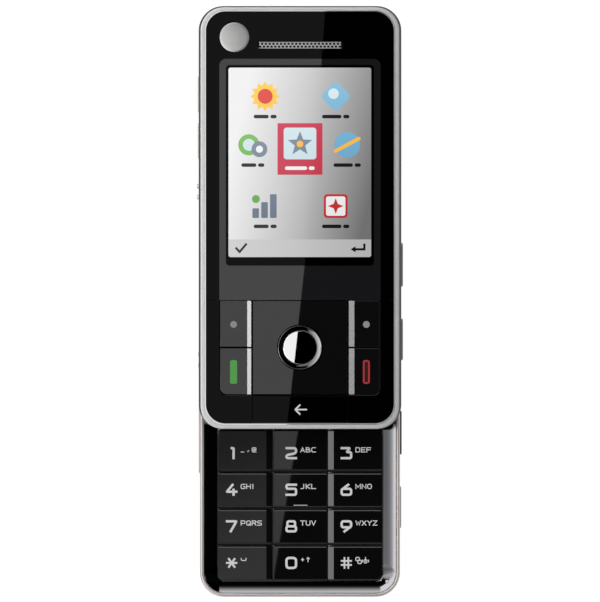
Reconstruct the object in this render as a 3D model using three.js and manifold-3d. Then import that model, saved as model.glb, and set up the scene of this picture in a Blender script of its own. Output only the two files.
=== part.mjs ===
// Slider phone, lying on its back with the slider pushed up: millimetres, +Z out of the display,
// +Y towards the earpiece, origin under the middle of the open phone on the surface it rests on.
// Both halves are drawn in one frame, which they share when the phone is closed, and each half's
// group is then moved half of the slide travel along Y.
import * as THREE from "three";
import { mergeVertices } from "three/addons/utils/BufferGeometryUtils.js";
import Module from "manifold-3d";

// Driving dimensions of the whole phone
const half_length = 96;
const slider_width = 46;
const base_side_step = 0.25;
const slide_travel = 38.2;
const corner_radius = 5.6;
const side_reach = 0.4;
const half_y = half_length / 2;
const slider_x = slider_width / 2;
const base_x = slider_x - base_side_step;

// Heights of the base half above the surface it rests on
const base_top_z = 8;
const rim_bottom_z = 6.2;
const board_bottom_z = 5.5;
const bay_ceiling = 0.5;
const back_wall = 1.2;

// Heights of the slider half
const slider_bottom_z = 8.3;
const slider_floor_z = 10.8;
const slider_floor = 0.5;
const bezel_bottom_z = 13.2;
const shelf_z = 15;
const glass_top_z = 16.1;
const slider_top_z = 16.4;

// Shared fits
const fit_gap = 0.1;
const slip_gap = 0.15;
const key_gap = 0.18;
const working_gap = 0.3;
const cut_over = 1;
const arc_steps = 3;
const small_arc_steps = 1;
const small_corner = 1.9;
const round_sides = 32;
const small_sides = 20;
const hole_sides = 10;

// Places and lengths of the pieces in the side walls, the same on both halves
const rocker_head = 25.3;
const rocker_y = half_y - rocker_head;
const rocker_length = 18.6;
const strip_drop = 16.8;
const strip_y = rocker_y - strip_drop;
const strip_length = 8.4;
const upper_key_drop = 16.6;
const upper_key_y = strip_y - upper_key_drop;
const upper_key_length = 10;
const lower_key_drop = 16.95;
const lower_key_y = upper_key_y - lower_key_drop;
const lower_key_length = 9.5;
const left_grip_drop = 17.3;
const left_grip_y = strip_y - left_grip_drop;
const left_grip_length = 17;

// Camera
const camera_x = 0;
const camera_head = 12;
const camera_y = half_y - camera_head;
const camera_size = 8.6;
const camera_height = 3.2;
const camera_barrel_radius = 3;
const camera_barrel_height = 0.6;
const camera_window_radius = 3.6;
const camera_window_thickness = 0.7;
const camera_window_inset = 0.1;
const camera_hole_radius = 2.9;

// Loudspeaker, vibration motor, aerial carrier and microphone
const speaker_radius = 6.4;
const speaker_height = 3.3;
const speaker_dome_radius = 3.4;
const speaker_dome_height = 0.5;
const speaker_side = 11.25;
const speaker_x = base_x - speaker_side;
const speaker_hole_radius = 0.5;
const speaker_hole_pitch = 1.7;
const speaker_hole_columns = 3;
const speaker_hole_rows = 2;
const motor_radius = 1.9;
const motor_length = 9;
const motor_side = 11.15;
const motor_x = base_x - motor_side;
const motor_shaft_radius = 0.5;
const motor_shaft_length = 0.8;
const motor_weight_length = 2.6;
const aerial_side = 9.25;
const aerial_width = 2 * (base_x - aerial_side);
const aerial_length = 4;
const aerial_height = 3.9;
const aerial_head = 4.4;
const aerial_y = half_y - aerial_head;
const motor_aerial_gap = 0.2;
const motor_y = aerial_y - aerial_length / 2 - motor_aerial_gap - motor_length / 2;
const speaker_motor_gap = 1.4;
const speaker_y = motor_y - motor_length / 2 - speaker_motor_gap - speaker_radius;
const aerial_leg = 3;
const aerial_bridge = 1.4;
const microphone_radius = 0.9;
const microphone_height = 0.9;
const microphone_side = 3;
const microphone_foot = 3.5;
const microphone_x = base_x - microphone_side;
const microphone_y = microphone_foot - half_y;
const microphone_hole_radius = 0.35;
const microphone_well_radius = 1.15;
const microphone_well_depth = 1.1;

// Rear housing of the base
const back_edge_radius = 2.4;
const back_edge_steps = 4;
const housing_wall = 1.9;
const cavity_foot_gap = 1;
const cavity_bottom_y = speaker_y - speaker_radius - cavity_foot_gap;

// Battery bay, battery and cover
const bay_side = 5.45;
const bay_foot = 4;
const bay_wall = 1;
const bay_width = 2 * (base_x - bay_side);
const bay_bottom_y = bay_foot - half_y;
const bay_top_y = cavity_bottom_y - bay_wall;
const battery_side_gap = 0.3;
const battery_head = 17.6;
const battery_width = bay_width - 2 * battery_side_gap;
const battery_length = bay_top_y - bay_bottom_y - battery_head;
const battery_thickness = 3.6;
const battery_edge = 0.8;
const cover_side = 3.25;
const cover_lap = 1.8;
const cover_width = 2 * (base_x - cover_side);
const cover_top_y = bay_top_y + cover_lap;
const cover_thickness = 0.9;
const cover_corner = 3;
const cover_grip_length = 9;
const cover_grip_width = 1;
const cover_grip_depth = 0.35;
const cover_grip_pitch = 2;
const cover_grip_count = 3;
const cover_grip_drop = 10;
const cover_grip_y = cover_top_y - cover_grip_drop;

// SIM holder and battery contacts in the bay
const contact_width = 5.6;
const contact_length = 4.4;
const contact_depth = 3.2;
const contact_blade_width = 0.8;
const contact_blade_reach = 0.7;
const contact_blade_z = 0.8;
const contact_blade_pitch = 1.7;
const contact_count = 3;
const sim_side_gap = 0.95;
const sim_contact_room = 3.5;
const sim_width = bay_width - contact_width - sim_contact_room;
const sim_length = 14.6;
const sim_thickness = 1.4;
const sim_x = bay_width / 2 - sim_side_gap - sim_width / 2;

// Main board and what hangs under it
const board_thickness = 0.6;
const board_margin = 0.35;
const shield_side = 3.7;
const shield_camera_gap = 2.25;
const shield_end_x = camera_x - camera_size / 2 - shield_camera_gap;
const shield_width = base_x - shield_side + shield_end_x;
const shield_length = 8.6;
const shield_height = 1.9;
const shield_x = shield_end_x - shield_width / 2;
const shield_drop = 0.4;
const shield_y = camera_y - shield_drop;
const card_socket_width = 12.4;
const card_socket_length = 11.6;
const card_socket_height = 1.9;
const card_socket_gap = 0.4;
const card_socket_y = cavity_bottom_y + card_socket_gap + card_socket_length / 2;
const card_slot_height = 1;
const card_slot_length = 10.8;

// Housing screws
const screw_side = 5.75;
const screw_head = 5;
const screw_x = base_x - screw_side;
const screw_y = half_y - screw_head;
const screw_head_radius = 1.5;
const screw_head_height = 0.8;
const screw_head_inset = 0.3;
const screw_shank_radius = 0.7;
const screw_end_gap = 0.6;
const screw_slot_width = 0.5;
const screw_slot_depth = 0.35;
const screw_boss_radius = 2.3;

// Sockets in the left wall of the base
const socket_width = 3.2;
const socket_length = 7;
const socket_height = 2.8;
const socket_mouth_wall = 0.5;
const socket_mouth_depth = 2;
const wall_feature_z = 3.4;

// Front housing, rim and key mat of the base
const rim_width = 0.85;
const keypad_side = 3.95;
const keypad_foot = 3.6;
const keypad_rows_length = 33.4;
const first_row_extra = 1.5;
const keypad_length = keypad_rows_length + first_row_extra;
const keypad_width = 2 * (base_x - keypad_side);
const keypad_bottom_y = keypad_foot - half_y;
const keypad_top_y = keypad_bottom_y + keypad_length;
const keypad_corner = 1.6;
const deck_thickness = 0.8;
const deck_cavity_side = 4.25;
const deck_cavity_width = 2 * (base_x - deck_cavity_side);
const deck_bar = 1.5;
const deck_cavity_bottom_y = keypad_top_y + deck_bar;
const mat_thickness = 0.5;
const key_seat_gap = 0.05;

// Number keys
const key_columns = 3;
const key_rows = 4;
const key_end_room = 0.12;
const key_pitch_x = keypad_width / key_columns;
const key_pitch_y = (keypad_rows_length - key_end_room) / key_rows;
const key_first_row_y = keypad_bottom_y + (key_rows - 1 / 2) * key_pitch_y;
const key_corner = 0.5;
const key_edge = 0.25;
const key_travel = 0.3;
const key_edge_steps = 2;

// Guide plate on the base and rail plate on the slider
const guide_lift = 2.6;
const guide_head = 5.4;
const guide_side = 7.25;
const guide_bottom_y = keypad_top_y + guide_lift;
const guide_top_y = half_y - guide_head;
const guide_width = 2 * (base_x - guide_side);
const guide_thickness = 0.5;
const tongue_reach = 2.5;
const pedestal_width = guide_width - 2 * tongue_reach;
const pedestal_height = 0.9;
const guide_corner = 1.5;
const rail_foot = 2;
const rail_head = 5.1;
const rail_wall = 0.9;
const rail_bottom_y = rail_foot - half_y;
const rail_top_y = half_y - rail_head;
const rail_width = guide_width + 2 * rail_wall;
const rail_thickness = 0.5;
const rail_lip_width = 2.4;
const rail_lip_thickness = 0.3;
const rail_lip_drop = 0.25;
const rail_recess_gap = 0.2;

// Slide spring and flex cable between the plates
const spring_wire = 0.5;
const spring_eye_radius = 1.1;
const spring_turn_radius = 3;
const spring_side = 4.5;
const spring_base_x = spring_side - guide_width / 2;
const spring_base_lift = 10.9;
const spring_base_y = guide_bottom_y + spring_base_lift;
const spring_slider_x = -4;
const spring_slider_lift = 35;
const spring_slider_y = rail_bottom_y + spring_slider_lift;
const spring_steps = 28;
const flex_thickness = 0.15;
const flex_width = 9;
const flex_side = 4.5;
const flex_x = guide_width / 2 - flex_side - flex_width / 2;
const flex_base_lift = 16.9;
const flex_base_y = guide_bottom_y + flex_base_lift;
const flex_turn_drop = 6.6;
const flex_turn_y = guide_top_y - flex_turn_drop;
const flex_turn_reach = 5.8;
const flex_slider_y = flex_turn_y - flex_turn_reach - slide_travel;
const flex_slot_gap = 0.4;

// Slider shell and bezel
const slider_wall = 1.8;
const bezel_side = 1.75;
const bezel_end = 1.35;
const bezel_edge = 0.9;
const bezel_edge_steps = 3;
const shelf_width = 0.9;
const opening_corner = 4.4;
const shell_edge = 0.7;

// Front window, badge, earpiece
const nav_foot = 7.7;
const nav_length = 21.6;
const nav_bottom_y = nav_foot - half_y;
const window_bottom_y = nav_bottom_y + nav_length;
const earpiece_head = 8.9;
const earpiece_side = 13.05;
const earpiece_y = half_y - earpiece_head;
const earpiece_slot_length = 2 * (slider_x - earpiece_side);
const earpiece_slot_width = 1.75;
const grille_thickness = 0.6;
const grille_hole_width = 0.5;
const grille_hole_pitch = 0.95;
const grille_end = 1.2;
const grille_hole_count = Math.floor((earpiece_slot_length - 2 * grille_end) / grille_hole_pitch) + 1;
const grille_wall = 0.4;
const capsule_length = 14;
const capsule_width = 7.6;
const capsule_corner = 3.5;
const capsule_height = 2.7;
const capsule_port_length = 9;
const capsule_port_width = 2;
const capsule_port_depth = 0.6;
const badge_side = 8.1;
const badge_head = 7.1;
const badge_x = badge_side - slider_x;
const badge_y = half_y - badge_head;
const badge_radius = 3.33;
const badge_depth = 0.4;
const badge_proud = 0.05;
const badge_crown = 0.15;

// Display and slider board
const display_side = 5;
const display_head_gap = 0.4;
const display_foot = 7.2;
const display_top_y = earpiece_y - capsule_width / 2 - display_head_gap;
const display_bottom_y = window_bottom_y + display_foot;
const display_width = 2 * (slider_x - display_side);
const display_length = display_top_y - display_bottom_y;
const display_y = (display_top_y + display_bottom_y) / 2;
const display_thickness = 2.8;
const display_border = 1.85;
const display_active_head = 0.9;
const display_active_foot = 2.5;
const display_active_width = display_width - 2 * display_border;
const display_active_length = display_length - display_active_head - display_active_foot;
const display_active_y = display_y + (display_active_foot - display_active_head) / 2;
const display_step = 0.3;
const slider_board_thickness = 0.6;
const slider_board_side = 4;
const slider_board_width = 2 * (slider_x - slider_board_side);
const slider_board_length = 2 * (half_y - slider_board_side);

// Lower panel and the navigation keys
const panel_depth = 2.6;
const side_key_side = 4.7;
const side_key_width = 7.4;
const side_key_reach = slider_x - side_key_side;
const nav_half_width = side_key_reach - side_key_width;
const side_key_corner = 1.8;
const nav_key_height = 1.5;
const nav_pad_thickness = 1.2;
const nav_edge = 0.2;
const centre_key_radius = 5.05;
const centre_disc_radius = 3.8;
const centre_ring_height = 0.2;
const centre_disc_height = 0.1;
const centre_key_thickness = 1.15;
const actuator_size = 6;
const actuator_height = 2.2;
const actuator_stem_radius = 1.6;
const actuator_stem_height = 0.25;

// Pieces in the side walls
const side_piece_height = 2.4;
const side_piece_corner = 0.8;
const slider_feature_z = 12;
const side_key_thickness = 1;
const side_pocket_depth = 1;
const rocker_notch_length = 2.4;
const rocker_notch_depth = 0.5;
const rocker_proud = 0.2;
const switch_knob_length = 6.4;
const switch_nub_pitch = 2.45;
const switch_nub_length = 1.1;
const flap_thickness = 0.85;
const flap_proud = 0.15;
const flap_pocket_depth = 0.95;
const flap_end_gap = 0.25;
const window_proud = 0.4;
const grip_proud = 0.3;

const wasm = await Module();
wasm.setup();

// Solids

function solidOf(geometry) {
  const bare = geometry.clone();
  bare.deleteAttribute("normal");
  bare.deleteAttribute("uv");
  const merged = mergeVertices(bare);
  return new wasm.Manifold(
    new wasm.Mesh({
      numProp: 3,
      vertProperties: merged.attributes.position.array,
      triVerts: new Uint32Array(merged.index.array),
    }),
  );
}

// A rectangle between two corners, with all four corners rounded.
function roundedOutline(x0, x1, y0, y1, radius) {
  const shape = new THREE.Shape();
  if (radius === 0) {
    shape.moveTo(x0, y0);
    shape.lineTo(x1, y0);
    shape.lineTo(x1, y1);
    shape.lineTo(x0, y1);
    return shape;
  }
  const quarter = Math.PI / 2;
  shape.absarc(x1 - radius, y0 + radius, radius, -quarter, 0);
  shape.absarc(x1 - radius, y1 - radius, radius, 0, quarter);
  shape.absarc(x0 + radius, y1 - radius, radius, quarter, 2 * quarter);
  shape.absarc(x0 + radius, y0 + radius, radius, 2 * quarter, 3 * quarter);
  return shape;
}

// Small corners take fewer steps than large ones.
function cornerSteps(radius) {
  return radius > small_corner ? arc_steps : small_arc_steps;
}

// A flat plate with rounded corners, from z0 to z1.
function plate(x0, x1, y0, y1, z0, z1, radius = 0) {
  const outline = roundedOutline(x0, x1, y0, y1, radius);
  const settings = { depth: z1 - z0, bevelEnabled: false, curveSegments: cornerSteps(radius) };
  return solidOf(new THREE.ExtrudeGeometry(outline, settings).translate(0, 0, z0));
}

// A plate centred on a point.
function centredPlate(x, y, width, length, z0, z1, radius = 0) {
  return plate(x - width / 2, x + width / 2, y - length / 2, y + length / 2, z0, z1, radius);
}

// A plate whose upper edge is rounded all round.
function crownedPlate(x0, x1, y0, y1, z0, z1, radius, edge, steps) {
  const outline = roundedOutline(x0, x1, y0, y1, radius);
  const settings = {
    depth: z1 - z0 - edge,
    bevelThickness: edge,
    bevelSize: edge,
    bevelOffset: -edge,
    bevelSegments: steps,
    curveSegments: cornerSteps(radius),
  };
  const whole = solidOf(new THREE.ExtrudeGeometry(outline, settings).translate(0, 0, z0));
  const below = plate(x0 - cut_over, x1 + cut_over, y0 - cut_over, y1 + cut_over, z0 - edge - cut_over, z0);
  return whole.subtract(below);
}

// The same plate turned over, so that its lower edge is the rounded one.
function keeledPlate(x0, x1, y0, y1, z0, z1, radius, edge, steps) {
  return crownedPlate(x0, x1, -y1, -y0, -z1, -z0, radius, edge, steps).rotate([180, 0, 0]);
}

// A round rod standing along Z.
function rod(x, y, z0, z1, radius, sides = small_sides) {
  const cylinder = new THREE.CylinderGeometry(radius, radius, z1 - z0, sides);
  return solidOf(cylinder.rotateX(Math.PI / 2).translate(x, y, (z0 + z1) / 2));
}

// A plate standing in a side wall: its outline lies in the YZ plane and it runs from x0 to x1.
function wallPlate(x0, x1, y, z, length, height, radius) {
  const outline = roundedOutline(-length / 2, length / 2, -height / 2, height / 2, radius);
  const settings = { depth: x1 - x0, bevelEnabled: false, curveSegments: cornerSteps(radius) };
  const geometry = new THREE.ExtrudeGeometry(outline, settings);
  geometry.applyMatrix4(new THREE.Matrix4().set(0, 0, 1, x0, 1, 0, 0, y, 0, 1, 0, z, 0, 0, 0, 1));
  return solidOf(geometry);
}

// A wall piece on the left (side -1) or right (side 1), between two distances from the middle plane.
function sidePlate(side, near, far, y, z, length, height, radius = 0) {
  const x0 = side > 0 ? near : -far;
  const x1 = side > 0 ? far : -near;
  return wallPlate(x0, x1, y, z, length, height, radius);
}

// A round wire or flat strip carried along a path.
function swept(outline, points, steps) {
  const path = new THREE.CatmullRomCurve3(points, false, "centripetal");
  const settings = { steps, extrudePath: path, curveSegments: arc_steps };
  return solidOf(new THREE.ExtrudeGeometry(outline, settings));
}

function material(color, roughness, metalness = 0) {
  return new THREE.MeshStandardMaterial({ color, roughness, metalness });
}

const finishes = {
  satin_silver: material(0xb9bbbd, 0.42, 0.85),
  polished_metal: material(0xcfd2d4, 0.2, 0.9),
  steel: material(0x9c9fa2, 0.38, 0.9),
  black_gloss: material(0x08080a, 0.08),
  smoke_gloss: material(0x2a2b2f, 0.12),
  dark_shell: material(0x26272a, 0.45),
  silver_shell: material(0xaaa7a2, 0.45, 0.3),
  dark_key: material(0x141417, 0.2),
  rubber: material(0x1c1c1e, 0.8),
  light_trim: material(0xa6a8aa, 0.4, 0.3),
  board_green: material(0x1d5b3a, 0.6),
  black_plastic: material(0x18181a, 0.6),
  gold_contact: material(0xc9a24a, 0.35, 0.9),
  battery_wrap: material(0x3a3d42, 0.55),
  display_glass: material(0xcfd4d8, 0.15),
  lens_glass: material(0x0b1016, 0.05),
  amber_film: material(0x8a4a18, 0.5),
};

const phone = new THREE.Group();
const base = new THREE.Group();
const slider = new THREE.Group();
base.position.y = -slide_travel / 2;
slider.position.y = slide_travel / 2;
phone.add(base, slider);

// Names a solid, gives it a finish and hangs it in a group at a place of its own.
function addPiece(group, name, finish, made, x = 0, y = 0, z = 0) {
  const result = made.getMesh();
  const geometry = new THREE.BufferGeometry();
  geometry.setAttribute("position", new THREE.BufferAttribute(result.vertProperties, result.numProp));
  geometry.setIndex(new THREE.BufferAttribute(result.triVerts, 1));
  geometry.computeVertexNormals();
  const mesh = new THREE.Mesh(geometry, finishes[finish]);
  mesh.name = name;
  mesh.position.set(x, y, z);
  group.add(mesh);
}

// Values that both halves use
const board_top_z = board_bottom_z + board_thickness;
const bay_ceiling_z = board_bottom_z - bay_ceiling;
const cover_recess_z = cover_thickness + slip_gap;
const deck_x = base_x - rim_width - fit_gap;
const deck_y = half_y - rim_width - fit_gap;
const deck_corner = corner_radius - rim_width - fit_gap;
const deck_bottom_z = board_top_z + slip_gap;
const guide_bottom_z = base_top_z + pedestal_height;
const guide_top_z = guide_bottom_z + guide_thickness;
const rail_plate_z = slider_floor_z - rail_thickness;
const rail_lip_z = guide_bottom_z - rail_lip_drop - rail_lip_thickness;

// Base half: rear housing

// The rounded outside of the base, from its back to the rim.
function baseOutside() {
  return keeledPlate(
    -base_x, base_x, -half_y, half_y, 0, rim_bottom_z, corner_radius, back_edge_radius, back_edge_steps,
  );
}

function coverOutline(margin) {
  const top = cover_top_y + margin;
  const width = cover_width / 2 + margin;
  const foot = -half_y - cut_over - cover_corner;
  return plate(-width, width, foot, top, -cut_over, cover_thickness + margin, cover_corner);
}

function flapPocket(y, length) {
  const end = length + flap_end_gap + slip_gap;
  const middle = y + (flap_end_gap - slip_gap) / 2;
  const height = side_piece_height + 2 * slip_gap;
  const floor = base_x - flap_pocket_depth;
  return sidePlate(-1, floor, base_x + cut_over, middle, wall_feature_z, end, height);
}

function rearHousing() {
  const inner_x = base_x - housing_wall;
  const inner_y = half_y - housing_wall;
  const cavity_corner = corner_radius - housing_wall;
  const cavity_top_z = rim_bottom_z + cut_over;
  const square_top_y = screw_y - screw_boss_radius;
  const cavity = plate(
    -inner_x, inner_x, cavity_bottom_y, inner_y, back_wall, cavity_top_z, cavity_corner,
  ).add(plate(-inner_x, inner_x, cavity_bottom_y, square_top_y, back_wall, cavity_top_z));
  const board_seat = plate(
    -inner_x, inner_x, -inner_y, inner_y, board_bottom_z, cavity_top_z, cavity_corner,
  );
  const bay = plate(-bay_width / 2, bay_width / 2, bay_bottom_y, bay_top_y, 0, bay_ceiling_z, battery_edge);
  const camera_seat = rod(
    camera_x, camera_y, -cut_over, camera_window_thickness + camera_window_inset,
    camera_window_radius + fit_gap, round_sides,
  );
  const camera_hole = rod(camera_x, camera_y, -cut_over, back_wall + cut_over, camera_hole_radius);
  const socket_depth = base_x - flap_pocket_depth - socket_width - fit_gap;
  const socket_well = sidePlate(
    -1, socket_depth, base_x, strip_y, wall_feature_z,
    socket_length + 2 * fit_gap, socket_height + 2 * fit_gap,
  );
  const slot_z = board_bottom_z - card_socket_height / 2;
  const card_slot = sidePlate(
    -1, inner_x - cut_over, base_x, card_socket_y, slot_z, card_slot_length, card_slot_height,
  );
  const window_pocket = sidePlate(
    1, base_x - side_pocket_depth, base_x + cut_over, upper_key_y, wall_feature_z,
    upper_key_length + 2 * fit_gap, side_piece_height + 2 * fit_gap, side_piece_corner,
  );
  const grip = sidePlate(
    1, base_x - side_pocket_depth, base_x + grip_proud, lower_key_y, wall_feature_z,
    lower_key_length, side_piece_height, side_piece_corner,
  );
  const left_grip = sidePlate(
    -1, base_x - side_pocket_depth, base_x + grip_proud, left_grip_y, wall_feature_z,
    left_grip_length, side_piece_height, side_piece_corner,
  );
  let housing = baseOutside()
    .subtract(cavity)
    .subtract(board_seat)
    .subtract(bay)
    .subtract(coverOutline(slip_gap))
    .subtract(camera_seat)
    .subtract(camera_hole)
    .subtract(flapPocket(rocker_y, rocker_length))
    .subtract(flapPocket(strip_y, strip_length))
    .subtract(socket_well)
    .subtract(card_slot)
    .subtract(window_pocket)
    .add(grip)
    .add(left_grip);
  for (const side of [-1, 1]) {
    const x = side * screw_x;
    const head_top_z = screw_head_inset + screw_head_height;
    housing = housing
      .add(rod(x, screw_y, back_wall / 2, board_bottom_z - working_gap, screw_boss_radius))
      .subtract(rod(x, screw_y, -cut_over, head_top_z, screw_head_radius + slip_gap))
      .subtract(rod(x, screw_y, -cut_over, board_bottom_z, screw_shank_radius + slip_gap));
  }
  for (let column = 0; column < speaker_hole_columns; column += 1) {
    for (let row = 0; row < speaker_hole_rows; row += 1) {
      const x = speaker_x + (column - (speaker_hole_columns - 1) / 2) * speaker_hole_pitch;
      const y = speaker_y + (row - (speaker_hole_rows - 1) / 2) * speaker_hole_pitch;
      const hole = rod(x, y, -cut_over, back_wall + cut_over, speaker_hole_radius, hole_sides);
      housing = housing.subtract(hole);
    }
  }
  return housing;
}

function batteryCover() {
  let cover = baseOutside().intersect(coverOutline(0));
  for (let i = 0; i < cover_grip_count; i += 1) {
    const y = cover_grip_y + i * cover_grip_pitch;
    const groove = centredPlate(
      0, y, cover_grip_length, cover_grip_width, -cut_over, cover_grip_depth, cover_grip_width / 2,
    );
    cover = cover.subtract(groove);
  }
  return cover;
}

function addBaseShell() {
  addPiece(base, "rear_housing", "silver_shell", rearHousing());
  addPiece(base, "battery_cover", "silver_shell", batteryCover());
  const window_z = camera_window_inset;
  const lens = rod(0, 0, 0, camera_window_thickness, camera_window_radius, round_sides);
  addPiece(base, "camera_window", "lens_glass", lens, camera_x, camera_y, window_z);
  const shank_top = board_bottom_z - screw_end_gap - screw_head_inset;
  for (const [name, side] of [["housing_screw_left", -1], ["housing_screw_right", 1]]) {
    const reach = screw_head_radius;
    const slot = screw_slot_width / 2;
    const screw = rod(0, 0, 0, screw_head_height, screw_head_radius)
      .add(rod(0, 0, screw_head_height / 2, shank_top, screw_shank_radius, hole_sides))
      .subtract(plate(-reach, reach, -slot, slot, -cut_over, screw_slot_depth))
      .subtract(plate(-slot, slot, -reach, reach, -cut_over, screw_slot_depth));
    addPiece(base, name, "steel", screw, side * screw_x, screw_y, screw_head_inset);
  }
}

// Base half: what it holds

function addBaseInside() {
  const battery_z = cover_recess_z + slip_gap;
  const battery_y = bay_bottom_y + slip_gap + battery_length / 2;
  const cell = centredPlate(0, 0, battery_width, battery_length, 0, battery_thickness, battery_edge);
  addPiece(base, "battery", "battery_wrap", cell, 0, battery_y, battery_z);

  const sim_y = bay_top_y - slip_gap - sim_length / 2;
  const sim_mouth = centredPlate(0, 0, sim_width - sim_thickness, sim_length, -cut_over, sim_thickness / 2);
  const sim = centredPlate(0, 0, sim_width, sim_length, 0, sim_thickness, battery_edge).subtract(sim_mouth);
  addPiece(base, "sim_holder", "steel", sim, sim_x, sim_y, bay_ceiling_z - sim_thickness);

  const battery_end_y = battery_y + battery_length / 2;
  let contacts = centredPlate(0, 0, contact_width, contact_length, 0, contact_depth);
  for (let i = 0; i < contact_count; i += 1) {
    const x = (i - (contact_count - 1) / 2) * contact_blade_pitch;
    const reach = contact_length / 2 + contact_blade_reach;
    const blade = centredPlate(
      x, -reach / 2, contact_blade_width, reach, contact_blade_z, contact_depth / 2,
    );
    contacts = contacts.add(blade);
  }
  const contact_x = -bay_width / 2 + contact_width / 2 + slip_gap;
  const contact_y = battery_end_y + contact_blade_reach + slip_gap + contact_length / 2;
  const contact_z = bay_ceiling_z - contact_depth;
  addPiece(base, "battery_contacts", "gold_contact", contacts, contact_x, contact_y, contact_z);

  const board_x = base_x - housing_wall - board_margin;
  const board_y = half_y - housing_wall - board_margin;
  const board_corner = corner_radius - housing_wall - board_margin;
  const board = plate(-board_x, board_x, -board_y, board_y, 0, board_thickness, board_corner);
  addPiece(base, "main_board", "board_green", board, 0, 0, board_bottom_z);

  const can = centredPlate(0, 0, shield_width, shield_length, 0, shield_height, battery_edge);
  addPiece(base, "shield_can", "steel", can, shield_x, shield_y, board_bottom_z - shield_height);

  const socket_x = -base_x + housing_wall + slip_gap + card_socket_width / 2;
  const tray = centredPlate(
    -cut_over, 0, card_socket_width, card_slot_length, card_socket_height / 2 - card_slot_height / 2,
    card_socket_height / 2 + card_slot_height / 2,
  );
  const card_socket = centredPlate(0, 0, card_socket_width, card_socket_length, 0, card_socket_height);
  const card_z = board_bottom_z - card_socket_height;
  addPiece(base, "card_socket", "steel", card_socket.subtract(tray), socket_x, card_socket_y, card_z);

  const camera_z = back_wall;
  const barrel_top = camera_height + camera_barrel_height;
  const barrel = rod(0, 0, camera_height / 2, barrel_top, camera_barrel_radius);
  const camera = centredPlate(0, 0, camera_size, camera_size, 0, camera_height, battery_edge).add(barrel);
  addPiece(base, "camera_module", "black_plastic", camera, camera_x, camera_y, camera_z);

  const dome_top = speaker_height + speaker_dome_height;
  const dome = rod(0, 0, speaker_height / 2, dome_top, speaker_dome_radius);
  const speaker = rod(0, 0, 0, speaker_height, speaker_radius, round_sides).add(dome);
  addPiece(base, "loudspeaker", "black_plastic", speaker, speaker_x, speaker_y, back_wall);

  const can_length = motor_length - motor_weight_length - motor_shaft_length;
  const shaft_end = can_length + motor_shaft_length + motor_weight_length / 2;
  const motor = rod(0, 0, 0, can_length, motor_radius)
    .add(rod(0, 0, can_length / 2, shaft_end, motor_shaft_radius, hole_sides))
    .add(rod(0, 0, can_length + motor_shaft_length, motor_length, motor_radius - fit_gap)
      .subtract(plate(-motor_radius, motor_radius, 0, motor_radius, 0, motor_length + cut_over)));
  const motor_z = back_wall + motor_radius + fit_gap;
  const motor_top_y = motor_y + motor_length / 2;
  addPiece(base, "vibration_motor", "steel", motor.rotate([90, 0, 0]), motor_x, motor_top_y, motor_z);

  const aerial_gap = centredPlate(
    0, 0, aerial_width - 2 * aerial_leg, aerial_length + cut_over, -cut_over, aerial_height - aerial_bridge,
  );
  const aerial = centredPlate(0, 0, aerial_width, aerial_length, 0, aerial_height).subtract(aerial_gap);
  addPiece(base, "aerial_carrier", "black_plastic", aerial, 0, aerial_y, back_wall);

  const capsule = rod(0, 0, 0, microphone_height, microphone_radius);
  addPiece(base, "microphone", "steel", capsule, microphone_x, microphone_y, deck_bottom_z);

  const socket_near = base_x - flap_pocket_depth - socket_width;
  const socket_far = base_x - flap_pocket_depth - fit_gap;
  const mouth = sidePlate(
    -1, socket_far - socket_mouth_depth, socket_far + cut_over, 0, 0,
    socket_length - 2 * socket_mouth_wall, socket_height - 2 * socket_mouth_wall,
  );
  const socket = sidePlate(-1, socket_near, socket_far, 0, 0, socket_length, socket_height).subtract(mouth);
  addPiece(base, "charging_socket", "steel", socket, 0, strip_y, wall_feature_z);
}

// The slot that one end of the flex cable comes through, between two heights.
function flexSlot(y, z0, z1) {
  const middle = y + flex_thickness / 2;
  return centredPlate(
    flex_x, middle, flex_width + 2 * flex_slot_gap, flex_thickness + 2 * flex_slot_gap,
    z0 - cut_over / 2, z1 + cut_over / 2,
  );
}

// Base half: front

function frontHousing() {
  const deck = plate(-deck_x, deck_x, -deck_y, deck_y, deck_bottom_z, base_top_z, deck_corner);
  const opening = plate(
    -keypad_width / 2, keypad_width / 2, keypad_bottom_y, keypad_top_y,
    deck_bottom_z - cut_over, base_top_z + cut_over, keypad_corner,
  );
  const hollow = plate(
    -deck_cavity_width / 2, deck_cavity_width / 2, deck_cavity_bottom_y, deck_y - housing_wall,
    deck_bottom_z - cut_over, base_top_z - deck_thickness, keypad_corner,
  );
  const port = rod(
    microphone_x, microphone_y, deck_bottom_z, base_top_z + cut_over, microphone_hole_radius, hole_sides,
  );
  const well = rod(
    microphone_x, microphone_y, deck_bottom_z - cut_over, deck_bottom_z + microphone_well_depth,
    microphone_well_radius,
  );
  return deck
    .subtract(opening)
    .subtract(hollow)
    .subtract(port)
    .subtract(well)
    .subtract(flexSlot(flex_base_y, deck_bottom_z, base_top_z));
}

function baseRim() {
  const outer = plate(-base_x, base_x, -half_y, half_y, rim_bottom_z, base_top_z, corner_radius);
  const inner = plate(
    -base_x + rim_width, base_x - rim_width, -half_y + rim_width, half_y - rim_width,
    rim_bottom_z - cut_over, base_top_z + cut_over, corner_radius - rim_width,
  );
  return outer.subtract(inner);
}

function addBaseFront() {
  addPiece(base, "front_housing", "black_gloss", frontHousing());
  addPiece(base, "base_rim", "satin_silver", baseRim());
  const mat_x = keypad_width / 2 - fit_gap;
  const mat = plate(
    -mat_x, mat_x, keypad_bottom_y + fit_gap, keypad_top_y - fit_gap, 0, mat_thickness, keypad_corner,
  );
  addPiece(base, "key_mat", "rubber", mat, 0, 0, board_top_z);
}

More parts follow.
